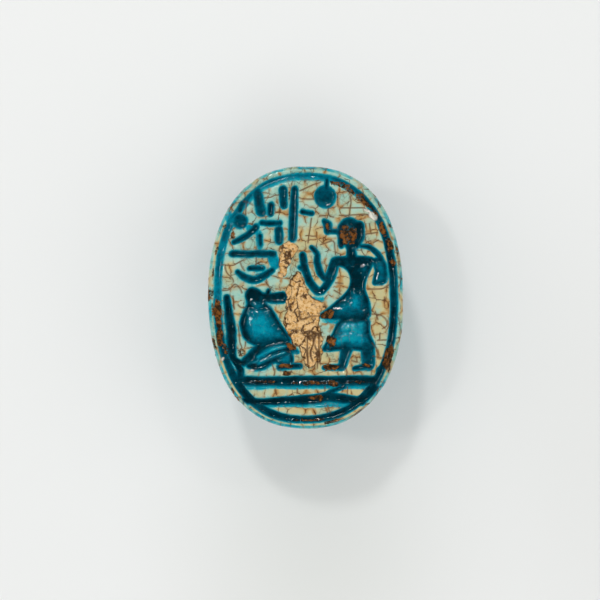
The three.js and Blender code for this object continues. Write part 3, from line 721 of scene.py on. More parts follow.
def backLines(x, y):  # depth of the lines scratched on the back
    lineY = crossLineY()
    reachX = (halfWidth - beetle["wingInset"]) * 0.86
    share = np.linspace(-1, 1, 17)
    across = np.stack([reachX * share, lineY + share**2 * 0.5], -1)
    seam = np.array([[0, lineY], [0, -halfLength + beetle["wingInset"]]])
    nick = np.array([[reachX * 0.58, lineY - 0.1], [reachX * 0.58 + 0.9, lineY - 1.6]])
    places = np.stack([x, y], -1)
    depth = np.zeros(x.shape)
    for line, spots in ((across, places), (seam, places), (nick, np.stack([np.abs(x), y], -1))):
        _, off = toPath(spots, line, np.full(len(line), beetle["lineWidth"] / 2))
        depth = np.maximum(depth, beetle["lineDepth"] * ramp(1, 0.1, off))
    return depth


def backSurface(x, y, dip):  # follows rays out to the surface; dip is their angle below level
    level = np.hypot(x, y)
    heading = np.stack([x / level * np.cos(dip), y / level * np.cos(dip), -np.sin(dip)], -1)
    start = np.array([0, 0, meshing["rayHeight"]])

    def fieldAt(distance):
        places = start + heading * distance[..., None]
        return beetleField(places[..., 0], places[..., 1], places[..., 2])

    nearest, farthest, stride = meshing["rayReach"]
    low = np.full(dip.shape, nearest)
    high = np.full(dip.shape, farthest)
    found = np.zeros(dip.shape, bool)
    for distance in np.arange(nearest + stride, farthest, stride):
        outside = fieldAt(np.full(dip.shape, distance)) > 0
        high = np.where(outside & ~found, distance, high)
        found |= outside
        low = np.where(found, low, distance)
    for _ in range(11):
        middle = (low + high) / 2
        outside = fieldAt(middle) > 0
        high = np.where(outside, middle, high)
        low = np.where(outside, low, middle)
    places = start + heading * high[..., None]
    shallow = ramp(plateUnderside - 0.4, plateUnderside - 1.2, places[..., 2])
    lines = backLines(places[..., 0], places[..., 1]) * shallow
    bumps = stone["unevenness"] * lumps(places[..., 0], places[..., 1], places[..., 2], 2.2, 41)
    return start + heading * (high - lines - (stone["unevenness"] + bumps) * shallow)[..., None], lines


edgeFlake = {
    "heading": -61,  # degrees round the oval
    "turn": 40,
    "halfLength": 2.6,
    "halfWidth": 0.42,
    "depth": 0.82,
    "outset": 0.24,
}


def breakEdge(u, v, z):  # moves the side inwards where a long flake came off it
    heading, turn = math.radians(edgeFlake["heading"]), math.radians(edgeFlake["turn"])
    middleU, middleV = onOval(np.cos(heading), np.sin(heading), -edgeFlake["outset"])
    c, s = math.cos(turn), math.sin(turn)
    along = ((u - middleU) * c + (v - middleV) * s) / edgeFlake["halfLength"]
    inwards = (v - middleV) * c - (u - middleU) * s
    share = np.clip(1 - along**2 - ((faceHeight - z) / edgeFlake["depth"]) ** 2, 0, 1)
    push = np.maximum(edgeFlake["halfWidth"] * np.sqrt(share) - inwards, 0) * (share > 0)
    return u - push * s, v + push * c, ramp(0, 0.05, push)


def gridEdge(grid):  # the outer points of a grid, once round
    return np.concatenate([grid[0, :-1], grid[:-1, -1], grid[-1, :0:-1], grid[:0:-1, 0]])


sideWear = {
    "pooled": 0.5,  # at the foot, paler upwards, and varied
    "poolLostUpwards": 0.38,
    "poolVaries": 0.14,
    "stainVaries": 0.5,
    "soil": 0.75,
    "broadBumps": 0.028,
    "smallBumps": 0.014,
}


def sideRings():  # rounded upper edge, wall and rounded lower edge, as rings of points with their wear
    rimX, rimY = gridEdge(discX), gridEdge(discY)
    sunk = gridEdge(faceZ) - faceTop
    turns = np.linspace(0, math.pi / 2, meshing["roundRings"] + 1)[1:]
    upper, lower = stone["edgeRound"], lowerRound
    top, foot = faceTop, plateUnderside + lower
    profile = [(upper * (1 - math.sin(turn)), top - upper * (1 - math.cos(turn))) for turn in turns]
    profile += [(0, top - upper + (foot - top + upper) * (k + 1) / meshing["wallRings"])
                for k in range(meshing["wallRings"])]
    profile += [(lower * (1 - math.cos(turn)), foot - lower * math.sin(turn)) for turn in turns]
    rings = []
    for inset, z in profile:
        u, v = onOval(rimX, rimY, inset)
        height = z + sunk * ramp(foot, top, z)
        u, v, broken = breakEdge(u, v, height)
        bumps = sideWear["broadBumps"] * lumps(u, v, z, 2.1, 51)
        bumps = bumps + sideWear["smallBumps"] * lumps(u, v, z, 0.6, 52)
        shrink = 1 - (stone["sideInset"] + bumps) / np.hypot(u, v)
        ring = {"place": np.stack([u * shrink, v * shrink, height], -1)}
        pooled = sideWear["pooled"] - sideWear["poolLostUpwards"] * ramp(foot - lower, foot + 0.6, z)
        pooled = pooled + sideWear["poolVaries"] * roughLumps(u, v, z, 0.9, 53)
        ring["pool"] = np.clip(pooled, 0, 1) * (1 - 0.8 * broken)
        ring["stain"] = np.clip(0.5 + sideWear["stainVaries"] * roughLumps(u, v, z, 1.3, 55), 0, 1)
        soiled = roughLumps(u, v, z * 2, 0.7, 54) + 0.12 * ramp(-3, -6, u)
        ring["soil"] = sideWear["soil"] * ramp(0.3, 0.6, soiled)
        ring["bare"] = 0.5 * broken
        rings.append(ring)
    return rings


def backPatch(headX, headY, dip):  # one stretch of the beetle's surface, with its wear
    place, lines = backSurface(headX, headY, dip)
    x, y, z = place[..., 0], place[..., 1], place[..., 2]
    reach = beetle["creaseReach"]
    outward = np.stack([headX, headY, -np.sin(dip) * np.hypot(headX, headY)], -1)
    outward = outward / np.maximum(np.linalg.norm(outward, axis=-1, keepdims=True), 1e-9)
    ahead = place + outward * reach
    openness = beetleField(ahead[..., 0], ahead[..., 1], ahead[..., 2]) / reach
    crease = ramp(0.75, 0.05, openness)
    pooled = beetle["pooled"] + beetle["poolVaries"] * roughLumps(x, y, z, 2.4, 61)
    pooled = pooled + beetle["poolInCreases"] * crease
    pooled = pooled + beetle["poolInLines"] * lines / beetle["lineDepth"]
    patch = {"place": place, "pool": np.clip(pooled, 0, 1)}
    worn = ramp(1.2, 0.0, z) * ramp(-0.5, 0.6, roughLumps(x, y, z, 1.1, 62))
    patch["bare"] = beetle["crownWear"] * worn
    patch["soil"] = np.clip(crease * ramp(-0.1, 0.5, roughLumps(x, y, z, 0.9, 63)), 0, 1)
    return patch


def backRings():  # the ledge under the plate and the flanks, down to the crown
    coarseX, coarseY = squareToDisc(meshing["facesAcross"] // 2, meshing["facesAlong"] // 2)
    edgeX, edgeY = gridEdge(coarseX), gridEdge(coarseY)
    drop = meshing["rayHeight"] - plateUnderside
    lastU, lastV = onOval(edgeX, edgeY, lowerRound + stone["sideInset"])
    wingU, wingV = onOval(edgeX, edgeY, beetle["wingInset"])
    lastDip = np.arctan2(drop + 0.01, np.hypot(lastU, lastV))
    ledgeDip = np.arctan2(drop + 0.05, np.hypot(wingU, wingV))
    crownDip = math.radians(meshing["crownAngle"])
    ledgeRings = meshing["ledgeRings"]
    dips = [lastDip + (ledgeDip - lastDip) * (k + 1) / ledgeRings for k in range(ledgeRings)]
    for k in range(meshing["flankRings"]):
        share = ((k + 1) / meshing["flankRings"]) ** 1.1
        dips.append(ledgeDip + (crownDip - ledgeDip) * share)
    headX = np.broadcast_to(lastU, (len(dips), len(lastU)))
    headY = np.broadcast_to(lastV, headX.shape)
    return backPatch(headX, headY, np.array(dips))


def crownGrid():
    x, y = squareToDisc(meshing["facesAcross"] // 2, meshing["facesAlong"] // 2)
    headX, headY = onOval(x, y, lowerRound + stone["sideInset"])
    share = np.hypot(x, y)
    headX, headY = np.where(share > 0, headX, 1e-6), np.where(share > 0, headY, 0)
    crownDip = math.radians(meshing["crownAngle"])
    return backPatch(headX, headY, math.pi / 2 - (math.pi / 2 - crownDip) * share)


def gridFaces(numbers, flip):
    corners = [numbers[:-1, :-1], numbers[:-1, 1:], numbers[1:, 1:], numbers[1:, :-1]]
    quads = np.stack(corners[::-1] if flip else corners, -1)
    return quads.reshape(-1, 4)


def ringFaces(upper, lower):
    return np.stack([upper, lower, np.roll(lower, -1), np.roll(upper, -1)], -1)


def halvingFaces(fine, coarse):  # joins a ring to one of half as many points
    start, middle, end = fine[::2], fine[1::2], np.roll(fine, -2)[::2]
    after = np.roll(coarse, -1)
    parts = [np.stack(corners, -1) for corners in ((start, coarse, middle), (coarse, after, middle),
                                                   (after, end, middle))]
    return np.concatenate(parts)


def meshFrom(name, places, faceSets):
    mesh = bpy.data.meshes.new(name)
    corners = np.concatenate([faces.ravel() for faces in faceSets])
    sizes = np.concatenate([np.full(len(faces), faces.shape[1]) for faces in faceSets])
    mesh.vertices.add(len(places))
    mesh.vertices.foreach_set("co", places.astype(np.float32).ravel())
    mesh.loops.add(len(corners))
    mesh.loops.foreach_set("vertex_index", corners.astype(np.int32))
    mesh.polygons.add(len(sizes))
    mesh.polygons.foreach_set("loop_start", (np.cumsum(sizes) - sizes).astype(np.int32))
    mesh.polygons.foreach_set("use_smooth", np.ones(len(sizes), bool))
    mesh.update(calc_edges=True)
    return mesh


wearNames = ("pool", "bare", "soil", "crack", "stain", "fresh")


def buildStone():
    face = dict(zip(wearNames, (pool, bare, soil, crack, stain, fresh)))
    face["place"] = np.stack([faceU, faceV, faceZ], -1)
    parts = [face, *sideRings()]
    flanks, crown = backRings(), crownGrid()
    faceNumbers = np.arange(faceU.size).reshape(faceU.shape)
    loop = gridEdge(faceNumbers)
    count = faceU.size
    faceSets = [gridFaces(faceNumbers, False)]
    for ring in parts[1:]:
        following = count + np.arange(len(loop))
        faceSets.append(ringFaces(loop, following))
        loop = following
        count += len(loop)
    flankNumbers = count + np.arange(flanks["pool"].size).reshape(flanks["pool"].shape)
    faceSets.append(halvingFaces(loop, flankNumbers[0]))
    for upper, lower in zip(flankNumbers[:-1], flankNumbers[1:]):
        faceSets.append(ringFaces(upper, lower))
    count += flankNumbers.size
    inner = {key: value[1:-1, 1:-1] for key, value in crown.items()}
    crownNumbers = np.zeros(crown["pool"].shape, int)
    crownNumbers[1:-1, 1:-1] = count + np.arange(inner["pool"].size).reshape(inner["pool"].shape)
    last = flankNumbers[-1]
    rows, columns = crownNumbers.shape
    crownNumbers[0, :-1] = last[:columns - 1]
    crownNumbers[:-1, -1] = last[columns - 1:columns + rows - 2]
    crownNumbers[-1, :0:-1] = last[columns + rows - 2:2 * columns + rows - 3]
    crownNumbers[:0:-1, 0] = last[2 * columns + rows - 3:]
    faceSets.append(gridFaces(crownNumbers, True))
    parts += [flanks, inner]
    places = np.concatenate([part["place"].reshape(-1, 3) for part in parts])
    mesh = meshFrom("glazedScarab", places * mm, faceSets)
    for name in wearNames:
        values = [part[name].ravel() if name in part else np.zeros(part["pool"].size) for part in parts]
        data = mesh.attributes.new(name, "FLOAT", "POINT").data
        data.foreach_set("value", np.concatenate(values).astype(np.float32))
    return mesh


def boreThrough(stoneObject):  # the thread hole, from the head end to the tail end
    sides = beetle["boreSides"]
    angles = np.arange(sides) / sides * 2 * math.pi
    radius, height, reach = beetle["boreRadius"], faceHeight - beetle["boreBelowFace"], halfLength + 1
    ends = [np.stack([np.cos(angles) * radius, 0 * angles + y, np.sin(angles) * radius + height], -1)
            for y in (-reach, reach)]
    numbers = np.arange(sides)
    after = np.roll(numbers, -1)
    wall = np.stack([numbers, numbers + sides, after + sides, after], -1)
    caps = np.stack([numbers, numbers[::-1] + sides])
    cutter = bpy.data.objects.new("bore", meshFrom("bore", np.concatenate(ends) * mm, [wall, caps]))
    bpy.context.collection.objects.link(cutter)
    cut = stoneObject.modifiers.new("bore", "BOOLEAN")
    cut.operation, cut.solver, cut.object = "DIFFERENCE", "EXACT", cutter
    cutter.hide_render = True
    graph = bpy.context.evaluated_depsgraph_get()
    mesh = bpy.data.meshes.new_from_object(stoneObject.evaluated_get(graph))
    stoneObject.modifiers.clear()
    stoneObject.data = mesh
    bpy.data.objects.remove(cutter)
    places = np.empty(len(mesh.vertices) * 3, np.float32)
    mesh.vertices.foreach_get("co", places)
    x, y, z = places.reshape(-1, 3).T / mm
    inside = ramp(radius + 0.12, radius + 0.02, np.hypot(x, z - height))
    for name, value in (("soil", 0.85), ("pool", 0.45)):
        data = mesh.attributes[name].data
        current = np.empty(len(x), np.float32)
        data.foreach_get("value", current)
        data.foreach_set("value", np.maximum(current, inside * value).astype(np.float32))
    mesh.set_sharp_from_angle(angle=math.radians(stone["sharpAngle"]))


stoneMesh = buildStone()
glazedScarab = bpy.data.objects.new("glazedScarab", stoneMesh)
bpy.context.collection.objects.link(glazedScarab)
print("stone built")
boreThrough(glazedScarab)
print("bore cut,", sum(len(face.vertices) - 2 for face in glazedScarab.data.polygons), "triangles")


# materials are node trees; each of these adds one step and gives its output
def colour(red, green, blue):  # from the usual 0 to 255
    shares = [value / 255 for value in (red, green, blue)]
    linear = [share / 12.92 if share < 0.04045 else ((share + 0.055) / 1.055) ** 2.4 for share in shares]
    return (*linear, 1)


def addNode(tree, kind, sockets, output=0, **settings):
    made = tree.nodes.new(kind)
    for key, value in settings.items():
        setattr(made, key, value)
    for key, value in sockets.items():
        if isinstance(value, bpy.types.NodeSocket):
            tree.links.new(value, made.inputs[key])
        else:
            made.inputs[key].default_value = value
    return made.outputs[output] if made.outputs else made


def readWear(tree, name):
    return addNode(tree, "ShaderNodeAttribute", {}, "Fac", attribute_name=name)


def maths(tree, first, second, operation="ADD", clamp=False):
    return addNode(tree, "ShaderNodeMath", {0: first, 1: second}, operation=operation, use_clamp=clamp)


def times(tree, first, second, clamp=False):
    return maths(tree, first, second, "MULTIPLY", clamp)


def fade(tree, value, start, end, low=0.0, high=1.0):
    sockets = {"Value": value, "From Min": start, "From Max": end, "To Min": low, "To Max": high}
    return addNode(tree, "ShaderNodeMapRange", sockets, interpolation_type="SMOOTHSTEP")


def blend(tree, share, first, second, kind="MIX"):
    sockets = {0: share, 6: first, 7: second}
    return addNode(tree, "ShaderNodeMix", sockets, 2, data_type="RGBA", blend_type=kind)


def blendNumber(tree, share, first, second):
    return addNode(tree, "ShaderNodeMix", {0: share, 2: first, 3: second}, 0, data_type="FLOAT")


def noise(tree, place, scale, detail=3.0, roughness=0.55):
    sockets = {"Vector": place, "Scale": scale, "Detail": detail, "Roughness": roughness}
    return addNode(tree, "ShaderNodeTexNoise", sockets, "Fac")


def relief(tree, height, strength):  # height in millimetres
    sockets = {"Height": height, "Strength": strength, "Distance": mm}
    return addNode(tree, "ShaderNodeBump", sockets, "Normal")


def noiseVector(tree, place, scale, strength):
    cloud = addNode(tree, "ShaderNodeTexNoise", {"Vector": place, "Scale": scale, "Detail": 2.0}, "Color")
    centred = addNode(tree, "ShaderNodeVectorMath", {0: cloud, 1: (0.5, 0.5, 0.5)}, operation="SUBTRACT")
    scaled = addNode(tree, "ShaderNodeVectorMath", {0: centred, "Scale": strength}, operation="SCALE")
    return addNode(tree, "ShaderNodeVectorMath", {0: place, 1: scaled}, operation="ADD")


def colourSteps(tree, value, steps):
    output = addNode(tree, "ShaderNodeValToRGB", {"Fac": value})
    ramps = output.node.color_ramp.elements
    for _ in steps[2:]:
        ramps.new(0.5)
    for element, (place, tint) in zip(ramps, steps):
        element.position = place
        element.color = tint
    return output


def newMaterial(name):
    made = bpy.data.materials.new(name)
    made.use_nodes = True
    made.node_tree.nodes.clear()
    return made, made.node_tree


def finishMaterial(tree, shaderSockets):
    shader = addNode(tree, "ShaderNodeBsdfPrincipled", shaderSockets)
    addNode(tree, "ShaderNodeOutputMaterial", {"Surface": shader})


def inMillimetres(tree, stretch=(1, 1, 1)):
    place = addNode(tree, "ShaderNodeTexCoord", {}, "Object")
    return addNode(tree, "ShaderNodeVectorMath", {0: place, 1: tuple(1000 * s for s in stretch)},
                   operation="MULTIPLY")


glaze = {
    "crackleSize": 0.82,  # millimetres between the lines of the crackle
    "fineCrackleSize": 0.36,
    "crackleWidth": 0.038,
    "crackleDepth": 0.012,
    "ripple": 0.075,  # unevenness that breaks up the shine
    "gloss": 0.06,
    "groundGloss": 0.34,
    # glaze colour by how deep it pooled; the darkest steps are partly painted shade for the floors of the
    # deep cuts
    "colours": [
        (0.0, colour(166, 200, 184)),
        (0.08, colour(112, 186, 182)),
        (0.18, colour(28, 158, 172)),
        (0.34, colour(6, 142, 162)),
        (0.52, colour(0, 114, 134)),
        (0.76, colour(0, 82, 98)),
        (1.0, colour(0, 50, 60)),
    ],
    "crackle": colour(94, 54, 12),
    "seepage": colour(172, 124, 58),  # brown that has crept in beside the crackle
    "tan": colour(200, 184, 132),
    "greyGreen": colour(140, 172, 150),
    "stoneLight": colour(230, 194, 142),
    "stoneDark": colour(196, 146, 72),
    # dark brown of cracks, pits and broken edges; round the losses it also serves as painted shadow
    "stoneEdge": colour(66, 36, 10),
    "soilLight": colour(148, 94, 36),
    "soilDark": colour(48, 38, 18),
    "white": colour(236, 232, 220),
}


def crackleNet(tree, place, size, strayness):  # distance to the nearest line, in millimetres
    sockets = {"Vector": place, "Scale": 1 / size, "Randomness": strayness}
    away = addNode(tree, "ShaderNodeTexVoronoi", sockets, "Distance", feature="DISTANCE_TO_EDGE")
    return times(tree, away, size)


def glazeMaterial():
    made, tree = newMaterial("crackledGlaze")
    place = inMillimetres(tree)
    flatPlace = inMillimetres(tree, (1, 1, 0.35))
    poolHere, bareHere, soilHere = (readWear(tree, name) for name in ("pool", "bare", "soil"))
    crackHere, stainHere, freshHere = (readWear(tree, name) for name in ("crack", "stain", "fresh"))
    broad = noise(tree, place, 0.55, 4)
    middle = noise(tree, place, 2.2, 4)
    fine = noise(tree, place, 9.0, 4, 0.65)

    mottle = fade(tree, middle, 0.25, 0.75, -0.13, 0.13)
    speckle = fade(tree, fine, 0.25, 0.75, -0.07, 0.07)
    unevenness = times(tree, maths(tree, mottle, speckle), fade(tree, poolHere, 0.0, 0.3, 0.25, 1))
    # the pooled glaze's colour, darkest in the deep cuts, where it is partly painted shade
    varied = maths(tree, poolHere, unevenness, clamp=True)
    pooledGlazeAndShade = colourSteps(tree, varied, glaze["colours"])
    onGround = fade(tree, poolHere, 0.16, 0.03)
    tanShare = times(tree, fade(tree, maths(tree, stainHere, times(tree, fine, 0.3)), 0.35, 0.9), 0.85)
    ground = blend(tree, tanShare, pooledGlazeAndShade, glaze["tan"])
    ground = blend(tree, fade(tree, broad, 0.45, 0.7, 0, 0.5), ground, glaze["greyGreen"])
    tint = blend(tree, onGround, pooledGlazeAndShade, ground)

    bent = noiseVector(tree, noiseVector(tree, flatPlace, 1.1, 0.5), 5.0, 0.14)
    coarse = crackleNet(tree, bent, glaze["crackleSize"], 0.62)
    small = crackleNet(tree, bent, glaze["fineCrackleSize"], 0.8)
    width = glaze["crackleWidth"]
    coarseShare = fade(tree, middle, 0.36, 0.58, 0.14, 1)
    smallShare = fade(tree, broad, 0.5, 0.66, 0, 0.7)
    net = maths(tree, times(tree, fade(tree, coarse, width, 0.25 * width), coarseShare),
               times(tree, fade(tree, small, 0.6 * width, 0.15 * width), smallShare), "MAXIMUM")
    net = times(tree, net, fade(tree, varied, 0.12, 0.42, 1, 0.15))
    lines = maths(tree, net, crackHere, "MAXIMUM")
    seeped = times(tree, fade(tree, coarse, 0.2, 0.03), fade(tree, noise(tree, bent, 1.5, 3), 0.38, 0.62))
    seeped = times(tree, maths(tree, seeped, times(tree, crackHere, 0.5), "MAXIMUM"), onGround)
    tint = blend(tree, times(tree, seeped, 0.85), tint, glaze["seepage"])
    tint = blend(tree, times(tree, lines, 0.93), tint, glaze["crackle"])

    grit = noise(tree, place, 5.0, 6, 0.7)
    stoneTint = blend(tree, fade(tree, grit, 0.46, 0.62), glaze["stoneLight"], glaze["stoneDark"])
    flaking = crackleNet(tree, noiseVector(tree, place, 2.6, 0.45), 0.62, 1.0)
    flakedHere = fade(tree, noise(tree, place, 1.7, 3), 0.42, 0.56)
    flaking = times(tree, fade(tree, flaking, 0.07, 0.01), flakedHere)
    pits = fade(tree, noise(tree, place, 7.5, 3, 0.6), 0.62, 0.7)
    pits = maths(tree, maths(tree, pits, flaking, "MAXIMUM"), crackHere, "MAXIMUM")
    stoneTint = blend(tree, times(tree, pits, 0.9), stoneTint, glaze["stoneEdge"])
    bareShare = fade(tree, bareHere, 0.25, 0.6)
    tint = blend(tree, bareShare, tint, stoneTint)
    # a dark ring round each loss: partly brown flaking edge, partly painted shadow of the step down to the
    # bare stone
    rimOfLoss = times(tree, fade(tree, bareHere, 0.08, 0.4), fade(tree, bareHere, 0.95, 0.6))
    brownedAndShadedEdge = times(tree, rimOfLoss, fade(tree, middle, 0.35, 0.6, 0.25, 0.9))
    tint = blend(tree, brownedAndShadedEdge, tint, glaze["stoneEdge"])
    tint = blend(tree, freshHere, tint, glaze["white"])

    earthMix = maths(tree, noise(tree, place, 4.2, 5, 0.7), fade(tree, middle, 0.3, 0.7, -0.14, 0.14))
    earth = blend(tree, fade(tree, earthMix, 0.42, 0.6), glaze["soilDark"], glaze["soilLight"])
    soilShare = fade(tree, maths(tree, soilHere, fade(tree, fine, 0.3, 0.7, -0.3, 0.3)), 0.35, 0.62)
    tint = blend(tree, soilShare, tint, earth)

    gloss = blendNumber(tree, onGround, glaze["gloss"], glaze["groundGloss"])
    gloss = blendNumber(tree, lines, gloss, 0.7)
    gloss = blendNumber(tree, bareShare, gloss, 0.85)
    gloss = blendNumber(tree, soilShare, gloss, 0.92)

    height = times(tree, lines, -glaze["crackleDepth"])
    roughStone = times(tree, maths(tree, grit, pits, "SUBTRACT"), 0.07)
    height = maths(tree, height, times(tree, bareShare, roughStone))
    height = maths(tree, height, times(tree, soilShare, times(tree, fine, 0.08)))
    height = maths(tree, height, times(tree, noise(tree, place, 2.4, 2.5, 0.5), glaze["ripple"]))
    finishMaterial(tree, {"Base Color": tint, "Roughness": gloss, "Normal": relief(tree, height, 1.0),
                          "IOR": 1.6, "Coat Weight": 0.3, "Coat Roughness": 0.03})
    return made


def earthMaterial():
    made, tree = newMaterial("driedSoil")
    place = inMillimetres(tree)
    grain = noise(tree, place, 5.5, 5, 0.7)
    tint = blend(tree, fade(tree, grain, 0.38, 0.62), glaze["soilDark"], glaze["soilLight"])
    normal = relief(tree, times(tree, grain, 0.06), 0.8)
    finishMaterial(tree, {"Base Color": tint, "Roughness": 0.93, "Normal": normal})
    return made


crackledGlaze = glazeMaterial()
driedSoil = earthMaterial()
glazedScarab.data.materials.append(crackledGlaze)
print("glaze mixed")

crumbs = {
    "perSquareMillimetre": 14.0,
    "smallest": 0.03,
    "largest": 0.075,
    "seed": 5,
    "deepest": 0.75,  # they are caught between these depths below the face
    "shallowest": 0.06,
    "underFace": 0.01,  # and none stands out of the box
    "insideEdge": 0.02,
}


def crumbTree():
    tree = bpy.data.node_groups.new("soilCrumbs", "GeometryNodeTree")
    for name, kind in (("Geometry", "NodeSocketGeometry"), ("Density", "NodeSocketFloat"),
                       ("Smallest", "NodeSocketFloat"), ("Largest", "NodeSocketFloat")):
        tree.interface.new_socket(name, in_out="INPUT", socket_type=kind)
    tree.interface.new_socket("Geometry", in_out="OUTPUT", socket_type="NodeSocketGeometry")
    given = tree.nodes.new("NodeGroupInput")
    where = addNode(tree, "GeometryNodeInputNamedAttribute", {"Name": "soil"}, "Attribute",
                    data_type="FLOAT")
    place = addNode(tree, "GeometryNodeInputPosition", {})
    height = addNode(tree, "ShaderNodeSeparateXYZ", {0: place}, "Z")
    onFace = maths(tree, height, (faceHeight - crumbs["deepest"]) * mm, "GREATER_THAN")
    deep = maths(tree, height, (faceHeight - crumbs["shallowest"]) * mm, "LESS_THAN")
    caught = times(tree, fade(tree, where, 0.5, 0.9), times(tree, onFace, deep))
    density = times(tree, caught, given.outputs["Density"])
    sockets = {"Mesh": given.outputs["Geometry"], "Density": density, "Seed": crumbs["seed"]}
    dots = addNode(tree, "GeometryNodeDistributePointsOnFaces", sockets, "Points",
                   distribute_method="RANDOM")
    crumb = addNode(tree, "GeometryNodeMeshIcoSphere", {"Radius": 1.0, "Subdivisions": 2}, "Mesh")
    ripple = addNode(tree, "ShaderNodeTexNoise", {"Scale": 1.6}, "Color")
    shove = addNode(tree, "ShaderNodeVectorMath", {0: ripple, 1: (0.5, 0.5, 0.5)}, operation="SUBTRACT")
    crumb = addNode(tree, "GeometryNodeSetPosition", {"Geometry": crumb, "Offset": shove})
    sockets = {"Max": (6.28, 6.28, 6.28), "Seed": crumbs["seed"] + 1}
    turn = addNode(tree, "FunctionNodeRandomValue", sockets, "Value", data_type="FLOAT_VECTOR")
    sockets = {2: given.outputs["Smallest"], 3: given.outputs["Largest"], "Seed": crumbs["seed"] + 2}
    size = addNode(tree, "FunctionNodeRandomValue", sockets, 1, data_type="FLOAT")
    sockets = {"Points": dots, "Instance": crumb, "Rotation": turn, "Scale": size}
    placed = addNode(tree, "GeometryNodeInstanceOnPoints", sockets)
    solid = addNode(tree, "GeometryNodeRealizeInstances", {"Geometry": placed})
    coated = addNode(tree, "GeometryNodeSetMaterial", {"Geometry": solid, "Material": driedSoil})
    addNode(tree, "NodeGroupOutput", {"Geometry": coated})
    return tree


def layCrumbs():
    laid = bpy.data.objects.new("soilCrumbs", glazedScarab.data.copy())
    bpy.context.collection.objects.link(laid)
    tree = crumbTree()
    spreader = laid.modifiers.new("soilCrumbs", "NODES")
    spreader.node_group = tree
    values = {"Density": crumbs["perSquareMillimetre"] / mm**2, "Smallest": crumbs["smallest"] * mm,
              "Largest": crumbs["largest"] * mm}
    for item in tree.interface.items_tree:
        if item.in_out == "INPUT" and item.name in values:
            spreader[item.identifier] = values[item.name]
    graph = bpy.context.evaluated_depsgraph_get()
    mesh = bpy.data.meshes.new_from_object(laid.evaluated_get(graph))
    laid.modifiers.clear()
    laid.data = mesh
    places = np.empty(len(mesh.vertices) * 3, np.float32)
    mesh.vertices.foreach_get("co", places)
    places = places.reshape(-1, 3)
    places[:, 2] = np.minimum(places[:, 2], (faceHeight - crumbs["underFace"]) * mm)
    x, y = places[:, 0] / mm, places[:, 1] / mm
    radiusX, radiusY = halfWidth - crumbs["insideEdge"], halfLength - crumbs["insideEdge"]
    over = np.maximum(ovalLevel(x, y, radiusX, radiusY), 1)
    places[:, :2] /= over[:, None]
    mesh.vertices.foreach_set("co", places.ravel())
    mesh.update()
    return laid


soilCrumbs = layCrumbs()
print("crumbs laid,", len(soilCrumbs.data.polygons), "faces")

studio = {
    "floorSize": 1600,
    "floorTint": (0.79, 0.798, 0.788, 1),
    "paintedFloorShadows": [  # middle, half sizes, tone: painted shadow, the floor painted darker below and to the right of the stone
        ((1, -20), 16, 17, (0.9, 0.905, 0.89, 1)),
        ((22, -12), 16, 26, (0.955, 0.955, 0.95, 1)),
    ],
    "lamps": [  # name, place, size, power, whether it shines in the glaze
        ("topLamp", (-60, 190, 260), 33, 0.19, True),
        ("topPanel", (-60, 250, 220), 240, 0.1, False),
        ("lowLamp", (30, -170, 270), 200, 0.2, False),
        ("leftLamp", (-170, 40, 270), 30, 0.09, True),
        ("leftPanel", (-250, 0, 190), 220, 0.08, False),
        ("rightLamp", (130, 150, 260), 20, 0.03, True),
        ("rightPanel", (250, -20, 190), 220, 0.1, False),
    ],
    "skyBright": 0.76,
    "skyOverhead": 0.04,
    "darkFrom": 0.78,  # height on the sky, from 0 at the horizon to 1 overhead, where it darkens
    "darkAt": 0.95,
    "cameraPlace": (-0.395, -0.17, 121.63),
    "lens": 100,
    "exposure": -0.26,
}


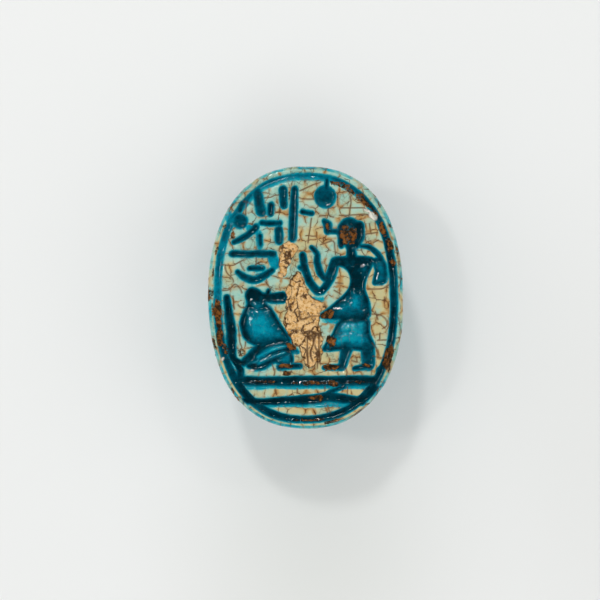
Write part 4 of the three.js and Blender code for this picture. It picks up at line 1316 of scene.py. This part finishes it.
def floorPlane():
    half = studio["floorSize"] / 2
    places = np.array([[-half, -half, 0], [half, -half, 0], [half, half, 0], [-half, half, 0]], float)
    plane = bpy.data.objects.new("floor", meshFrom("floor", places * mm, [np.arange(4).reshape(1, 4)]))
    made, tree = newMaterial("palePaper")
    tone = studio["floorTint"]
    # painted shadow: the floor is darkened in these soft ovals below and to the right of the stone
    for middle, across, along, shade in studio["paintedFloorShadows"]:
        place = inMillimetres(tree, (1 / across, 1 / along, 0))
        centre = (middle[0] / across, middle[1] / along, 0)
        away = addNode(tree, "ShaderNodeVectorMath", {0: place, 1: centre}, "Value", operation="DISTANCE")
        tone = blend(tree, fade(tree, away, 1, 0), tone, shade, "MULTIPLY")
    finishMaterial(tree, {"Base Color": tone, "Roughness": 0.9, "Specular IOR Level": 0.1})
    plane.data.materials.append(made)
    bpy.context.collection.objects.link(plane)
    return plane


def softLight(name, place, size, power, shines):
    lamp = bpy.data.lights.new(name, "AREA")
    lamp.shape, lamp.size, lamp.energy = "SQUARE", size * mm, power
    held = bpy.data.objects.new(name, lamp)
    held.location = Vector(place) * mm
    held.visible_glossy = shines
    held.rotation_euler = (-held.location).to_track_quat("-Z", "Y").to_euler()
    bpy.context.collection.objects.link(held)


def skyLight():  # bright all round and dark overhead, so that only slopes shine
    world = bpy.data.worlds.new("sky")
    world.use_nodes = True
    tree = world.node_tree
    heading = addNode(tree, "ShaderNodeTexCoord", {}, "Generated")
    height = addNode(tree, "ShaderNodeSeparateXYZ", {0: heading}, "Z")
    bright, overhead = studio["skyBright"], studio["skyOverhead"]
    strength = fade(tree, height, studio["darkFrom"], studio["darkAt"], bright, overhead)
    tree.links.new(strength, tree.nodes["Background"].inputs["Strength"])
    tree.nodes["Background"].inputs["Color"].default_value = (1, 1, 1, 1)
    world.cycles_visibility.glossy = False  # only the lamps shine in the glaze
    bpy.context.scene.world = world


def camera():
    eye = bpy.data.cameras.new("camera")
    eye.lens, eye.sensor_width, eye.clip_start, eye.clip_end = studio["lens"], 36, 0.001, 10
    held = bpy.data.objects.new("camera", eye)
    held.location = Vector(studio["cameraPlace"]) * mm
    bpy.context.collection.objects.link(held)
    bpy.context.scene.camera = held


paleFloor = floorPlane()
for lamp in studio["lamps"]:
    softLight(*lamp)
skyLight()
camera()
view = bpy.context.scene.view_settings
view.view_transform = "Standard"
view.look = "Medium High Contrast"
view.exposure = studio["exposure"]
print("studio lit")

for piece in (glazedScarab, soilCrumbs):
    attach(piece, "root")
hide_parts("scarab")
